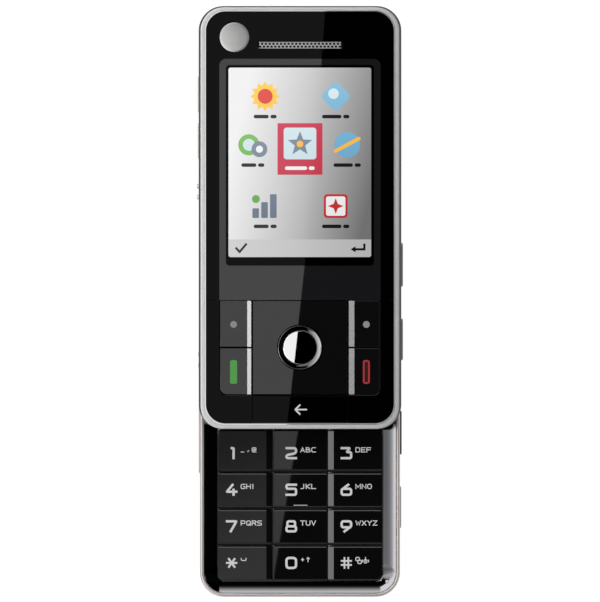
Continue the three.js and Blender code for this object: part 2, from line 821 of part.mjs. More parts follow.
function addNumberKeys() {
  const names = [
    ["key_1", "key_2", "key_3"],
    ["key_4", "key_5", "key_6"],
    ["key_7", "key_8", "key_9"],
    ["key_star", "key_0", "key_hash"],
  ];
  const width = key_pitch_x - key_gap;
  const length = key_pitch_y - 2 * key_gap;
  const bottom = board_top_z + mat_thickness + key_travel + key_seat_gap;
  const height = base_top_z - bottom;
  const outline_x = keypad_width / 2 - key_gap;
  for (let row = 0; row < key_rows; row += 1) {
    const extra = row === 0 ? first_row_extra : 0;
    for (let column = 0; column < key_columns; column += 1) {
      const x = (column - (key_columns - 1) / 2) * key_pitch_x;
      const y = key_first_row_y - row * key_pitch_y;
      const keypad = plate(
        -outline_x - x, outline_x - x, keypad_bottom_y + key_gap - y, keypad_top_y - key_gap - y,
        -cut_over, height + cut_over, keypad_corner,
      );
      const cap = crownedPlate(
        -width / 2, width / 2, -length / 2, length / 2 + extra, 0, height, key_corner, key_edge,
        key_edge_steps,
      );
      addPiece(base, names[row][column], "dark_key", cap.intersect(keypad), x, y, bottom);
    }
  }
}

// Pieces in the side walls of the base

// A flap lies in its pocket with its pivot near its upper end, and the pocket is longer there.
function flap(length, extras) {
  const far = base_x + flap_proud;
  let made = sidePlate(-1, far - flap_thickness, far, 0, 0, length, side_piece_height, 0);
  for (const extra of extras) made = extra.cut ? made.subtract(extra.cut) : made.add(extra.add);
  return made;
}

function nubs(x_near, x_far) {
  return [-1, 1].map((place) => ({
    add: sidePlate(
      -1, x_near, x_far, (place * switch_nub_pitch) / 2, 0, switch_nub_length,
      side_piece_height - 2 * side_piece_corner,
    ),
  }));
}

function addBaseSides() {
  const notch = {
    cut: sidePlate(
      -1, base_x + flap_proud - rocker_notch_depth, base_x + cut_over, 0, -side_piece_height / 2,
      rocker_notch_length, side_piece_height,
    ),
  };
  const card_flap = flap(rocker_length, [notch]);
  addPiece(base, "card_slot_cover", "light_trim", card_flap, 0, rocker_y, wall_feature_z);
  const ribs = nubs(base_x - flap_proud, base_x + side_reach);
  addPiece(base, "socket_cover", "light_trim", flap(strip_length, ribs), 0, strip_y, wall_feature_z);
  const window = sidePlate(
    1, base_x - side_pocket_depth, base_x + window_proud, 0, 0, upper_key_length, side_piece_height,
    side_piece_corner,
  );
  addPiece(base, "infrared_window", "lens_glass", window, 0, upper_key_y, wall_feature_z);
}

// The slide: guide plate, rail plate, spring and flex cable

function addSlideParts() {
  const pedestal = plate(
    -pedestal_width / 2, pedestal_width / 2, guide_bottom_y, guide_top_y,
    base_top_z, guide_bottom_z, guide_corner,
  );
  const tongue = plate(
    -guide_width / 2, guide_width / 2, guide_bottom_y, guide_top_y,
    guide_bottom_z, guide_top_z, guide_corner,
  );
  const guide = pedestal.add(tongue).subtract(flexSlot(flex_base_y, base_top_z, guide_top_z));
  addPiece(base, "guide_plate", "steel", guide);

  const half = rail_width / 2;
  const hollow_x = guide_width / 2 + slip_gap;
  const lip_x = half - rail_lip_width;
  const lip_top_z = rail_lip_z + rail_lip_thickness;
  const channel = plate(-hollow_x, hollow_x, rail_bottom_y, rail_top_y, lip_top_z, rail_plate_z);
  const mouth = plate(-lip_x, lip_x, rail_bottom_y, rail_top_y, rail_lip_z - cut_over, rail_plate_z);
  const block = plate(-half, half, rail_bottom_y, rail_top_y, rail_lip_z, slider_floor_z);
  const rail = block.subtract(channel).subtract(mouth);
  const rail_slot = flexSlot(flex_slider_y, rail_plate_z, slider_floor_z);
  addPiece(slider, "rail_plate", "steel", rail.subtract(rail_slot));

  // The spring's wire runs from an eye on the guide plate round a turn to an eye on the rail plate.
  const wire_z = (guide_top_z + rail_plate_z) / 2;
  const section = new THREE.Shape().absarc(0, 0, spring_wire / 2, 0, 2 * Math.PI);
  const eye = (x, y) => rod(x, y, wire_z - spring_wire / 2, wire_z + spring_wire / 2, spring_eye_radius)
    .subtract(rod(x, y, wire_z - spring_wire, wire_z + spring_wire, spring_eye_radius / 2, hole_sides));
  const base_eye = new THREE.Vector3(spring_base_x, spring_base_y, wire_z);
  const slider_eye = new THREE.Vector3(spring_slider_x, spring_slider_y + slide_travel, wire_z);
  const middle = base_eye.clone().add(slider_eye).multiplyScalar(1 / 2);
  const reach = spring_eye_radius - spring_wire / 2;
  const points = [
    base_eye.clone().add(new THREE.Vector3(reach, 0, 0)),
    middle.clone().add(new THREE.Vector3(0, -spring_turn_radius, 0)),
    middle.clone().add(new THREE.Vector3(spring_turn_radius, 0, 0)),
    middle.clone().add(new THREE.Vector3(0, spring_turn_radius, 0)),
    slider_eye.clone().add(new THREE.Vector3(-reach, 0, 0)),
  ];
  const wire = swept(section, points, spring_steps);
  const spring = wire.add(eye(base_eye.x, base_eye.y)).add(eye(slider_eye.x, slider_eye.y));
  addPiece(base, "slide_spring", "polished_metal", spring);

  // The flex cable rises from the base's board, runs up over the guide plate, turns back and rises
  // through the rail plate to the slider's board.
  const slider_end_y = flex_slider_y + slide_travel;
  const low = guide_top_z + fit_gap;
  const high = rail_plate_z - fit_gap - flex_thickness;
  const middle_z = (low + high + flex_thickness) / 2;
  const outer = middle_z - low;
  const tail_bottom = board_top_z + fit_gap;
  const tail_top = slider_floor_z + slider_floor - fit_gap;
  const strip = new THREE.Shape();
  strip.moveTo(flex_base_y, tail_bottom);
  strip.lineTo(flex_base_y + flex_thickness, tail_bottom);
  strip.lineTo(flex_base_y + flex_thickness, low);
  strip.absarc(flex_turn_y, middle_z, outer, -Math.PI / 2, Math.PI / 2);
  strip.lineTo(slider_end_y + flex_thickness, high + flex_thickness);
  strip.lineTo(slider_end_y + flex_thickness, tail_top);
  strip.lineTo(slider_end_y, tail_top);
  strip.lineTo(slider_end_y, high);
  strip.absarc(flex_turn_y, middle_z, outer - flex_thickness, Math.PI / 2, -Math.PI / 2, true);
  strip.lineTo(flex_base_y, low + flex_thickness);
  const settings = { depth: flex_width, bevelEnabled: false, curveSegments: arc_steps };
  const geometry = new THREE.ExtrudeGeometry(strip, settings);
  geometry.applyMatrix4(
    new THREE.Matrix4().set(0, 0, 1, flex_x - flex_width / 2, 1, 0, 0, 0, 0, 1, 0, 0, 0, 0, 0, 1),
  );
  addPiece(base, "flex_cable", "amber_film", solidOf(geometry));
}

// Slider half: shell and bezel

const opening_x = slider_x - bezel_side;
const opening_y = half_y - bezel_end;
const shelf_x = opening_x - shelf_width;
const shelf_y = opening_y - shelf_width;

function sidePocket(side, depth, y, length, margin) {
  return sidePlate(
    side, slider_x - depth, slider_x + cut_over, y, slider_feature_z, length + 2 * margin,
    side_piece_height + 2 * margin, side_piece_corner + margin,
  );
}

function sliderRearHousing() {
  const shell = keeledPlate(
    -slider_x, slider_x, -half_y, half_y, slider_bottom_z, bezel_bottom_z, corner_radius, shell_edge, 2,
  );
  const inner_x = slider_x - slider_wall;
  const inner_y = half_y - slider_wall;
  const cavity = plate(
    -inner_x, inner_x, -inner_y, inner_y, slider_floor_z + slider_floor, bezel_bottom_z + cut_over,
    corner_radius - slider_wall,
  );
  const recess_x = rail_width / 2 + rail_recess_gap;
  const recess = plate(
    -recess_x, recess_x, rail_bottom_y - rail_recess_gap, rail_top_y + 2 * rail_recess_gap + slip_gap,
    slider_bottom_z - cut_over, slider_floor_z,
  );
  return shell
    .subtract(cavity)
    .subtract(recess)
    .subtract(flexSlot(flex_slider_y, slider_floor_z, slider_floor_z + slider_floor))
    .subtract(sidePocket(-1, side_key_thickness + working_gap, rocker_y, rocker_length, slip_gap))
    .subtract(sidePocket(-1, side_key_thickness, strip_y, strip_length, slip_gap))
    .subtract(sidePocket(1, side_key_thickness + working_gap, upper_key_y, upper_key_length, slip_gap))
    .subtract(sidePocket(1, side_key_thickness + working_gap, lower_key_y, lower_key_length, slip_gap));
}

function sliderBezel() {
  const ring = crownedPlate(
    -slider_x, slider_x, -half_y, half_y, bezel_bottom_z, slider_top_z,
    corner_radius, bezel_edge, bezel_edge_steps,
  );
  const opening = plate(
    -opening_x - fit_gap, opening_x + fit_gap, -opening_y - fit_gap, opening_y + fit_gap,
    shelf_z, slider_top_z + cut_over, opening_corner + fit_gap,
  );
  const throat = plate(
    -shelf_x, shelf_x, -shelf_y, shelf_y, bezel_bottom_z - cut_over, slider_top_z,
    opening_corner - shelf_width,
  );
  return ring.subtract(opening).subtract(throat);
}

// Slider half: window, display, earpiece

// The opening in the bezel, from z0 to z1, between two heights along the phone.
function openingFill(y0, y1, z0, z1) {
  const whole = plate(-opening_x, opening_x, -opening_y, opening_y, z0, z1, opening_corner);
  return whole.intersect(plate(-slider_x, slider_x, y0, y1, z0 - cut_over, z1 + cut_over));
}

function addSliderFront() {
  addPiece(slider, "slider_rear_housing", "dark_shell", sliderRearHousing());
  addPiece(slider, "slider_bezel", "satin_silver", sliderBezel());

  const slot_radius = earpiece_slot_width / 2;
  const slot = centredPlate(
    0, earpiece_y, earpiece_slot_length, earpiece_slot_width, shelf_z - cut_over, glass_top_z + cut_over,
    slot_radius - key_edge,
  );
  const badge_seat = rod(
    badge_x, badge_y, glass_top_z - badge_depth, glass_top_z + cut_over,
    badge_radius + fit_gap, round_sides,
  );
  const pane = openingFill(window_bottom_y, half_y, shelf_z, glass_top_z);
  const window = pane.subtract(slot).subtract(badge_seat);
  addPiece(slider, "front_window", "black_gloss", window);

  const profile = [
    [0, 0],
    [badge_radius, 0],
    [badge_radius, badge_depth + badge_proud - badge_crown],
    [badge_radius - badge_crown, badge_depth + badge_proud],
    [0, badge_depth + badge_proud],
  ].map(([r, z]) => new THREE.Vector2(r, z));
  const disc = solidOf(new THREE.LatheGeometry(profile, round_sides).rotateX(Math.PI / 2));
  addPiece(slider, "badge_disc", "polished_metal", disc, badge_x, badge_y, glass_top_z - badge_depth);

  const grille_x = earpiece_slot_length - 2 * slip_gap;
  const grille_y = earpiece_slot_width - 2 * slip_gap;
  const hole_y = grille_y - 2 * grille_wall;
  let grille = centredPlate(0, 0, grille_x, grille_y, 0, grille_thickness, grille_y / 2 - key_edge);
  for (let i = 0; i < grille_hole_count; i += 1) {
    const x = (i - (grille_hole_count - 1) / 2) * grille_hole_pitch;
    const hole = centredPlate(x, 0, grille_hole_width, hole_y, -cut_over, grille_thickness + cut_over);
    grille = grille.subtract(hole);
  }
  addPiece(slider, "earpiece_grille", "polished_metal", grille, 0, earpiece_y, shelf_z + working_gap / 2);

  const board_z = slider_floor_z + slider_floor;
  const board_top = board_z + slider_board_thickness;
  const board = centredPlate(
    0, 0, slider_board_width, slider_board_length, 0, slider_board_thickness, corner_radius - slider_wall,
  );
  addPiece(slider, "slider_board", "board_green", board, 0, 0, board_z);

  const port = centredPlate(
    0, 0, capsule_port_length, capsule_port_width,
    capsule_height - capsule_port_depth, capsule_height + cut_over,
  );
  const capsule = centredPlate(0, 0, capsule_length, capsule_width, 0, capsule_height, capsule_corner);
  addPiece(slider, "earpiece", "black_plastic", capsule.subtract(port), 0, earpiece_y, board_top);

  const frame = centredPlate(0, 0, display_width, display_length, 0, display_thickness - display_step);
  const screen = centredPlate(
    0, display_active_y - display_y, display_active_width, display_active_length,
    display_thickness / 2, display_thickness,
  );
  addPiece(slider, "display_module", "display_glass", frame.add(screen), 0, display_y, board_top);
}

// Slider half: lower panel and navigation keys

const nav_middle_y = (window_bottom_y + nav_bottom_y) / 2;
const actuator_room = actuator_size + 2 * working_gap;
const nav_keys = {
  left_soft_key: [-side_key_reach, -nav_half_width, nav_middle_y, window_bottom_y],
  send_key: [-side_key_reach, -nav_half_width, nav_bottom_y, nav_middle_y],
  right_soft_key: [nav_half_width, side_key_reach, nav_middle_y, window_bottom_y],
  end_key: [nav_half_width, side_key_reach, nav_bottom_y, nav_middle_y],
};

const nav_key_z = glass_top_z - nav_key_height;
const pocket_z = nav_key_z - key_travel - fit_gap;

function lowerPanel() {
  const flange = openingFill(-half_y, window_bottom_y - fit_gap, shelf_z, glass_top_z);
  const body_x = shelf_x - slip_gap;
  const body = plate(
    -body_x, body_x, -shelf_y + slip_gap, window_bottom_y - fit_gap, glass_top_z - panel_depth,
    shelf_z + fit_gap, opening_corner - shelf_width,
  );
  const top = glass_top_z + cut_over;
  const end = window_bottom_y + cut_over;
  const side_corner = side_key_corner;
  const foot = -half_y;
  return flange
    .add(body)
    .subtract(plate(-side_key_reach, side_key_reach, nav_bottom_y, end, pocket_z, top, side_corner))
    .subtract(plate(-nav_half_width, nav_half_width, -shelf_y + slip_gap, end, pocket_z, top))
    .subtract(plate(-nav_half_width, nav_half_width, foot, end, shelf_z - cut_over / 2, top))
    .subtract(centredPlate(0, nav_middle_y, actuator_room, actuator_room, 0, glass_top_z));
}

// A key in the lower panel: its upper edge is rounded, and its outer corners follow the panel's pocket.
function panelKey(x0, x1, y0, y1) {
  const cap = crownedPlate(
    x0 + key_gap, x1 - key_gap, y0 + key_gap, y1 - key_gap, nav_key_z, glass_top_z, key_edge, nav_edge, 1,
  );
  const reach = side_key_reach - key_gap;
  const outline = plate(
    -reach, reach, nav_bottom_y + key_gap, half_y, 0, slider_top_z, side_key_corner,
  );
  return cap.intersect(outline);
}

// The clear key overhangs the bezel's shelf, and leaves room under the overhang for its travel.
function clearKey() {
  const x = nav_half_width - key_gap;
  const top = nav_bottom_y - key_gap;
  const overhang_z = shelf_z + key_travel + key_seat_gap;
  const overhang = openingFill(-opening_y + key_gap, top, overhang_z, glass_top_z);
  const stem = plate(-x, x, -shelf_y + slip_gap + key_gap, top, nav_key_z, overhang_z + fit_gap);
  return overhang.intersect(plate(-x, x, -half_y, top, 0, slider_top_z)).add(stem);
}

function addLowerPanel() {
  addPiece(slider, "lower_panel", "black_gloss", lowerPanel());
  for (const [name, [x0, x1, y0, y1]] of Object.entries(nav_keys)) {
    addPiece(slider, name, "smoke_gloss", panelKey(x0, x1, y0, y1));
  }
  addPiece(slider, "clear_key", "smoke_gloss", clearKey());

  const pad_z = glass_top_z - nav_pad_thickness;
  const pad_x = nav_half_width - key_gap;
  const pad = crownedPlate(
    -pad_x, pad_x, nav_bottom_y + key_gap, window_bottom_y - key_gap, pad_z, glass_top_z, key_edge,
    nav_edge, 1,
  );
  const bore = rod(
    0, nav_middle_y, pad_z - cut_over, glass_top_z + cut_over, centre_key_radius + key_gap, round_sides,
  );
  addPiece(slider, "nav_pad", "smoke_gloss", pad.subtract(bore));

  const ring_top = centre_key_thickness + centre_ring_height;
  const disc_top = centre_key_thickness + centre_disc_height;
  const profile = [
    [0, 0],
    [centre_key_radius, 0],
    [centre_key_radius, centre_key_thickness],
    [centre_key_radius - centre_ring_height, ring_top],
    [centre_disc_radius + centre_ring_height, ring_top],
    [centre_disc_radius, disc_top],
    [0, disc_top],
  ].map(([r, z]) => new THREE.Vector2(r, z));
  const button = solidOf(new THREE.LatheGeometry(profile, round_sides).rotateX(Math.PI / 2));
  const button_z = glass_top_z - centre_key_thickness;
  addPiece(slider, "centre_key", "polished_metal", button, 0, nav_middle_y, button_z);

  const actuator_z = slider_floor_z + slider_floor + slider_board_thickness + working_gap;
  const stem_top = actuator_height + actuator_stem_height;
  const stem = rod(0, 0, actuator_height / 2, stem_top, actuator_stem_radius);
  const actuator = centredPlate(0, 0, actuator_size, actuator_size, 0, actuator_height).add(stem);
  addPiece(slider, "nav_actuator", "black_plastic", actuator, 0, nav_middle_y, actuator_z);
}

// Pieces in the side walls of the slider

function addSliderSides() {
  const far = slider_x + rocker_proud;
  const near = slider_x - side_key_thickness;
  const notch = sidePlate(
    -1, far - rocker_notch_depth, far + cut_over, 0, 0, rocker_notch_length, side_piece_height + cut_over,
  );
  const rocker = sidePlate(-1, near, far, 0, 0, rocker_length, side_piece_height, side_piece_corner);
  addPiece(slider, "volume_rocker", "light_trim", rocker.subtract(notch), 0, rocker_y, slider_feature_z);

  let knob = sidePlate(
    -1, near + fit_gap, slider_x, 0, 0, switch_knob_length, side_piece_height, side_piece_corner,
  );
  for (const nub of nubs(near + fit_gap, slider_x + side_reach)) knob = knob.add(nub.add);
  addPiece(slider, "lock_switch", "light_trim", knob, 0, strip_y, slider_feature_z);

  const reach = slider_x + side_reach;
  const upper = sidePlate(1, near, reach, 0, 0, upper_key_length, side_piece_height, side_piece_corner);
  addPiece(slider, "camera_key", "light_trim", upper, 0, upper_key_y, slider_feature_z);
  const lower = sidePlate(1, near, reach, 0, 0, lower_key_length, side_piece_height, side_piece_corner);
  addPiece(slider, "voice_key", "light_trim", lower, 0, lower_key_y, slider_feature_z);
}

addBaseShell();
addBaseInside();
addBaseFront();
addNumberKeys();
addBaseSides();
addSlideParts();
addSliderFront();
addLowerPanel();
addSliderSides();

export default phone;
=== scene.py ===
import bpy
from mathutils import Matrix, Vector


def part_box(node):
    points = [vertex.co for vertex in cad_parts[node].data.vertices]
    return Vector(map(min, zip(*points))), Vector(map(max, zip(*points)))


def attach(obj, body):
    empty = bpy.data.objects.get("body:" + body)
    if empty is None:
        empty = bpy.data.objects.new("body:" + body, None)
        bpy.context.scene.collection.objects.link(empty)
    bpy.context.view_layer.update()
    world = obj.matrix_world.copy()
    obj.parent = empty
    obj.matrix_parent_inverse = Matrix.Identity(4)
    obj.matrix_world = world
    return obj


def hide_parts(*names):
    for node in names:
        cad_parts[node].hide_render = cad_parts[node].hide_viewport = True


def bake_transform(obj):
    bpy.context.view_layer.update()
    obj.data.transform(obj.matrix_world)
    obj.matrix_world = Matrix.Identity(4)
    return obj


bl_info = {
    "name": "Slider phone",
    "version": (1, 0, 0),
    "blender": (4, 5, 0),
    "location": "3D View > Sidebar > Phone",
    "description": "Makes the visible surfaces of a slider phone around its packed solids",
    "category": "Object",
}

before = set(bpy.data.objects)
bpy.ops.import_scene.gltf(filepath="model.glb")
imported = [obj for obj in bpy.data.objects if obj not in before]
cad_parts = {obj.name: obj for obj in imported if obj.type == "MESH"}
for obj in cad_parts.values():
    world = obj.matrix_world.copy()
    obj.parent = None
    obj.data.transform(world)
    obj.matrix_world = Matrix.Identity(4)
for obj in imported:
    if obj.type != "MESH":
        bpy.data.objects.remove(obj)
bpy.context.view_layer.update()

import bpy
import numpy as np
from bpy.props import FloatProperty, FloatVectorProperty, PointerProperty
from bpy.types import Operator, Panel, PropertyGroup
from mathutils import Vector

# All shapes are worked out in millimetres and put into the meshes in metres.
MM = 0.001
IMAGE_WIDTH, IMAGE_HEIGHT = 600, 602

# The gap round a key, the corner radius of its plate and the size of the plate's round edge.
KEY_GAP, KEY_CORNER, KEY_EDGE = 0.18, 0.15, 0.07


def length(name, description, millimetres):
    return FloatProperty(
        name=name, description=description, default=millimetres * MM,
        min=0.0, unit="LENGTH", subtype="DISTANCE", precision=5,
    )


def tint(name, description, red, green, blue):
    """A colour given as it looks on a screen, from 0 to 255, and kept as linear light."""
    shown = np.array((red, green, blue)) / 255
    linear = np.where(shown > 0.04045, ((shown + 0.055) / 1.055) ** 2.4, shown / 12.92)
    return FloatVectorProperty(
        name=name, description=description, default=tuple(linear),
        size=3, min=0.0, max=1.0, subtype="COLOR",
    )


class PhoneSizes(PropertyGroup):
    """Sizes of the visible surfaces."""

    shell_corner: length("Shell corner", "Corner radius of both halves", 5.6)
    glass_corner: length("Glass corner", "Corner radius of the glass", 4.4)
    bezel_width: length("Bezel width", "From the outer wall to the glass at the sides", 1.65)
    bezel_end_width: length("Bezel end width", "From the outer wall to the glass at the ends", 1.25)
    panel_reach: length("Panel reach", "Half the width of the grey panel", 18.3)
    panel_top: length("Panel top", "Upper edge of the grey panel above the middle", 55.1)
    panel_corner: length("Panel corner", "Radius of the panel's upper corners", 1.5)
    screen_border: length("Screen border", "Black border round the lit screen", 0.6)
    facet_width: length("Facet width", "Width of the slope beside the outer key columns", 1.3)
    facet_drop: length("Facet drop", "How far that slope falls", 0.26)
    key_fall: length("Key fall", "Width of the slope at the foot of a number key", 0.24)
    border_rise: length("Border rise", "How far the border of the keypad rises to the rim", 0.3)
    digit_width: length("Digit width", "From middle to middle of a digit's strokes", 2.17)
    digit_height: length("Digit height", "From middle to middle of a digit's strokes", 2.28)
    digit_stroke: length("Digit stroke", "Stroke width of the digits", 0.52)
    letter_width: length("Letter width", "From middle to middle of a letter's strokes", 0.88)
    letter_height: length("Letter height", "From middle to middle of a letter's strokes", 0.98)
    letter_stroke: length("Letter stroke", "Stroke width of the letters", 0.2)
    ink: length("Ink thickness", "Thickness of printed marks", 0.015)


class PhoneColours(PropertyGroup):
    """Colours of the visible surfaces."""

    silver: tint("Silver", "Blasted metal of the slider's bezel", 186, 186, 185)
    polished: tint("Polished metal", "Polished lip, strips and centre key", 240, 240, 240)
    rim: tint("Rim", "Warm grey metal of the base's rim", 186, 180, 177)
    glass: tint("Glass", "Black glass", 1, 1, 1)
    panel: tint("Panel", "Grey panel round the screen", 30, 30, 32)
    key_panel: tint("Key panel", "Keys in the grey panel", 17, 17, 18)
    number_key: tint("Number key", "Number keys", 15, 15, 16)
    dark_shell: tint("Dark shell", "Plastic of the slider's shell", 44, 44, 46)
    silver_shell: tint("Silver shell", "Painted plastic of the base", 172, 169, 165)
    chrome: tint("Dark chrome", "Border of the keypad and ring of the centre key", 104, 104, 106)
    # Mark also colours the small dome at the microphone, where its white is a painted highlight.
    mark: tint("Mark", "Printed digits, letters and arrow", 240, 240, 240)
    dot: tint("Dot", "Dots on the soft keys", 158, 158, 160)
    green: tint("Green", "Bar on the send key", 92, 176, 84)
    red: tint("Red", "Bar on the end key", 190, 48, 58)
    dark_red: tint("Dark red", "Middle of the bar on the end key", 40, 8, 10)


def box(node):
    """Lowest and highest corner of a CAD node, in millimetres."""
    return tuple(np.array(corner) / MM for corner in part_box(node))


def size(name):
    return getattr(bpy.context.scene.phone_sizes, name) / MM


def colour(name):
    return np.array(getattr(bpy.context.scene.phone_colours, name))


# Materials

# Each finish: a colour of the property group, with the share of it that is used, or a linear
# colour, and its roughness. Then come its metallic share, specular level, grain in millimetres,
# how much the colour and the roughness vary, bump, coat and the stretch of the grain by axis.
# A row that ends early takes the rest from USUAL.
FINISHES = {
    "blasted_silver": ("silver", 0.46, 1, 0.5, 0.22, 0.1, 0.06, 0.15),
    "polished_lip": ("polished", 0.02, 1, 0.5, 4, 0.01, 0.01),
    "mirror": ("polished", 0.004, 1, 0.5, 9, 0.01, 0.003),
    "satin_strip": ("polished", 0.18, 1, 0.5, 3, 0.02, 0.01, 0, 0, (1, 0.2, 1)),
    "black_glass": ("glass", 0.008, 0, 0.1, 18, 0.3, 0.004),
    "panel_glass": ("panel", 0.008, 0, 0.69, 18, 0.05, 0.004),
    "key_glass": ("key_panel", 0.008, 0, 0.69, 18, 0.08, 0.004),
    "number_gloss": ("number_key", 0.012, 0, 0.45, 6, 0.1, 0.006),
    "dark_chrome": ("chrome", 0.05, 1, 0.5, 9, 0.03, 0.005),
    "border_chrome": ("chrome", 0.05, 1, 0.5, 9, 0.03, 0.005),
    "dark_plastic": ("dark_shell", 0.42, 0, 0.5, 0.12, 0.12, 0.06, 0.12),
    "silver_paint": ("silver_shell", 0.38, 0.35, 0.5, 0.07, 0.07, 0.05, 0.06, 0.15),
    "matte_black": ((0.003, 0.003, 0.003), 0.9, 0, 0.1, 0.1, 0.3),
    "brushed_disc": ("silver 0.92", 0.3, 1, 0.5, 0.4, 0.06, 0.05, 0.04, 0, (0.06, 1, 1)),
    "grille_metal": ("silver", 0.32, 1, 0.5, 0.3, 0.08),
    "side_metal": ("silver 0.8", 0.3, 1, 0.5, 0.3, 0.06, 0.06),
    "warm_satin": ("rim", 0.4, 0.75, 0.5, 0.25, 0.05, 0.05, 0.08),
    "flap_paint": ("silver_shell 1.05", 0.42, 0, 0.5, 0.1, 0.06, 0.05),
    "brushed_steel": ((0.46, 0.47, 0.49), 0.32, 1, 0.5, 0.5, 0.08, 0.08, 0.05, 0, (1, 0.04, 1)),
    "mat_rubber": ((0.012, 0.012, 0.013), 0.8, 0, 0.5, 0.15, 0.2, 0.03, 0.2),
    "board_lacquer": ((0.012, 0.11, 0.05), 0.4, 0, 0.5, 0.8, 0.45, 0.1, 0, 0.3),
    "black_moulding": ((0.014, 0.014, 0.015), 0.55, 0, 0.5, 0.2, 0.2, 0.03, 0.1),
    "gold_plate": ((0.62, 0.4, 0.1), 0.3, 1, 0.5, 0.4, 0.08),
    "battery_sleeve": ((0.05, 0.055, 0.062), 0.5, 0, 0.5, 0.5, 0.12, 0.03, 0.05),
    "display_frame": ((0.3, 0.31, 0.32), 0.3, 0.6, 0.5, 0.5, 0.06),
    "camera_glass": ((0.004, 0.005, 0.008), 0.03),
    "flex_film": ((0.3, 0.09, 0.012), 0.35, 0, 0.5, 0.6, 0.15, 0.03, 0, 0.3),
}
for printed in ("mark", "dot", "green", "red", "dark_red"):
    FINISHES["ink_" + printed] = (printed, 0.5, 0, 0.15, 0.3, 0.03, 0.05)
USUAL = (0, 0.5, 0.6, 0.05, 0.03, 0, 0, (1, 1, 1))

# Finishes of the CAD nodes that stay, by material slot.
SLOTS = {
    "steel": "brushed_steel", "polished_metal": "polished_lip", "satin_silver": "blasted_silver",
    "black_gloss": "black_glass", "smoke_gloss": "key_glass", "dark_shell": "dark_plastic",
    "silver_shell": "silver_paint", "dark_key": "number_gloss", "rubber": "mat_rubber",
    "light_trim": "silver_paint", "board_green": "board_lacquer",
    "black_plastic": "black_moulding", "gold_contact": "gold_plate",
    "battery_wrap": "battery_sleeve", "display_glass": "display_frame",
    "lens_glass": "camera_glass", "amber_film": "flex_film",
}


def give(node, values):
    """Gives a node's inputs their values. A value that is another node's output is linked."""
    for name, value in values.items():
        if isinstance(value, bpy.types.NodeSocket):
            node.id_data.links.new(value, node.inputs[name])
        else:
            node.inputs[name].default_value = value


def add(tree, kind, values=None, **settings):
    """A new shader node with its settings and the values of its inputs."""
    node = tree.nodes.new("ShaderNode" + kind)
    for name, value in settings.items():
        setattr(node, name, value)
    give(node, values or {})
    return node


def lit_nodes(name):
    """A new material with its node tree, its main shader and its object coordinates."""
    material = bpy.data.materials.new(name)
    material.use_nodes = True
    tree = material.node_tree
    return material, tree, tree.nodes["Principled BSDF"], add(tree, "TexCoord").outputs["Object"]


def finish(name):
    """A moulded, painted or metal finish. Noise drawn on object coordinates shifts the colour
    and roughness and lifts the surface."""
    title = "finish_" + name
    if title in bpy.data.materials:
        return bpy.data.materials[title]
    base, roughness, *rest = FINISHES[name]
    metallic, specular, grain, vary, rough_vary, bump, coat, stretch = (
        *rest, *USUAL[len(rest):])
    if isinstance(base, str):
        base, _, share = base.partition(" ")
        base = colour(base) * float(share or 1)
    material, tree, shader, place = lit_nodes(title)
    place = add(tree, "Mapping", {"Vector": place, "Scale": stretch}).outputs["Vector"]
    noise = add(tree, "TexNoise", {"Vector": place, "Scale": 1 / (grain * MM), "Detail": 3})
    noise = noise.outputs["Fac"]
    dark, light = (np.clip(np.append(base, 1) * (1 + sign * vary), 0, 1) for sign in (-1, 1))
    paint = add(tree, "Mix", {"Factor": noise, "A": dark, "B": light}, data_type="RGBA")
    rough = add(tree, "MapRange", {"Value": noise, "To Min": max(roughness - rough_vary, 0.0),
                                   "To Max": roughness + rough_vary})
    give(shader, {"Base Color": paint.outputs["Result"], "Roughness": rough.outputs["Result"],
                  "Metallic": metallic, "Specular IOR Level": specular, "Coat Weight": coat,
                  "Coat Roughness": 0.05})
    if bump:
        lift = add(tree, "Bump", {"Height": noise, "Strength": bump, "Distance": grain * MM / 2})
        give(shader, {"Normal": lift.outputs["Normal"]})
    return material


def share_along(tree, place, start, end):
    """How much of the way from a start to an end a place lies, from 0 to 1, in metres."""
    run = np.subtract(end, start)
    run = run / (run @ run)
    along = add(tree, "VectorMath", {0: place, 1: run}, operation="DOT_PRODUCT")
    return add(tree, "Math", {0: along.outputs["Value"], 1: float(run @ start)},
               operation="SUBTRACT", use_clamp=True).outputs[0]


def glowing(name, near, far, start, end, gloss=0.06):
    """A lit part of the screen, whose colour turns from near to far between two points. The
    colours go from 0 to 255."""
    material, tree, shader, place = lit_nodes(name)
    near, far = (np.append((np.array(shown) / 255) ** 2.2, 1) for shown in (near, far))
    share = share_along(tree, place, np.array(start) * MM, np.array(end) * MM)
    lit = add(tree, "Mix", {"Factor": share, "A": near, "B": far}, data_type="RGBA")
    give(shader, {"Base Color": (0, 0, 0, 1), "Roughness": gloss,
                  "Emission Color": lit.outputs["Result"], "Emission Strength": 1.0})
    return material


def border_chrome(corner):
    """Dark chrome that is softer round the keypad's lower right corner, so that no hard pattern
    shows where the dish turns from side to foot."""
    made = finish("border_chrome")
    tree = made.node_tree
    place = add(tree, "TexCoord").outputs["Object"]
    away = add(tree, "VectorMath", {0: place, 1: np.array(corner) * MM}, operation="DISTANCE")
    soft = add(tree, "MapRange", {"Value": away.outputs["Value"], "From Min": 1.1 * MM,
                                  "From Max": 2.3 * MM, "To Min": 0.35, "To Max": 0.0},
               interpolation_type="SMOOTHSTEP")
    rough = tree.nodes["Principled BSDF"].inputs["Roughness"]
    larger = add(tree, "Math", {0: rough.links[0].from_socket, 1: soft.outputs["Result"]},
                 operation="MAXIMUM")
    tree.links.new(larger.outputs[0], rough)
    return made


# Shapes

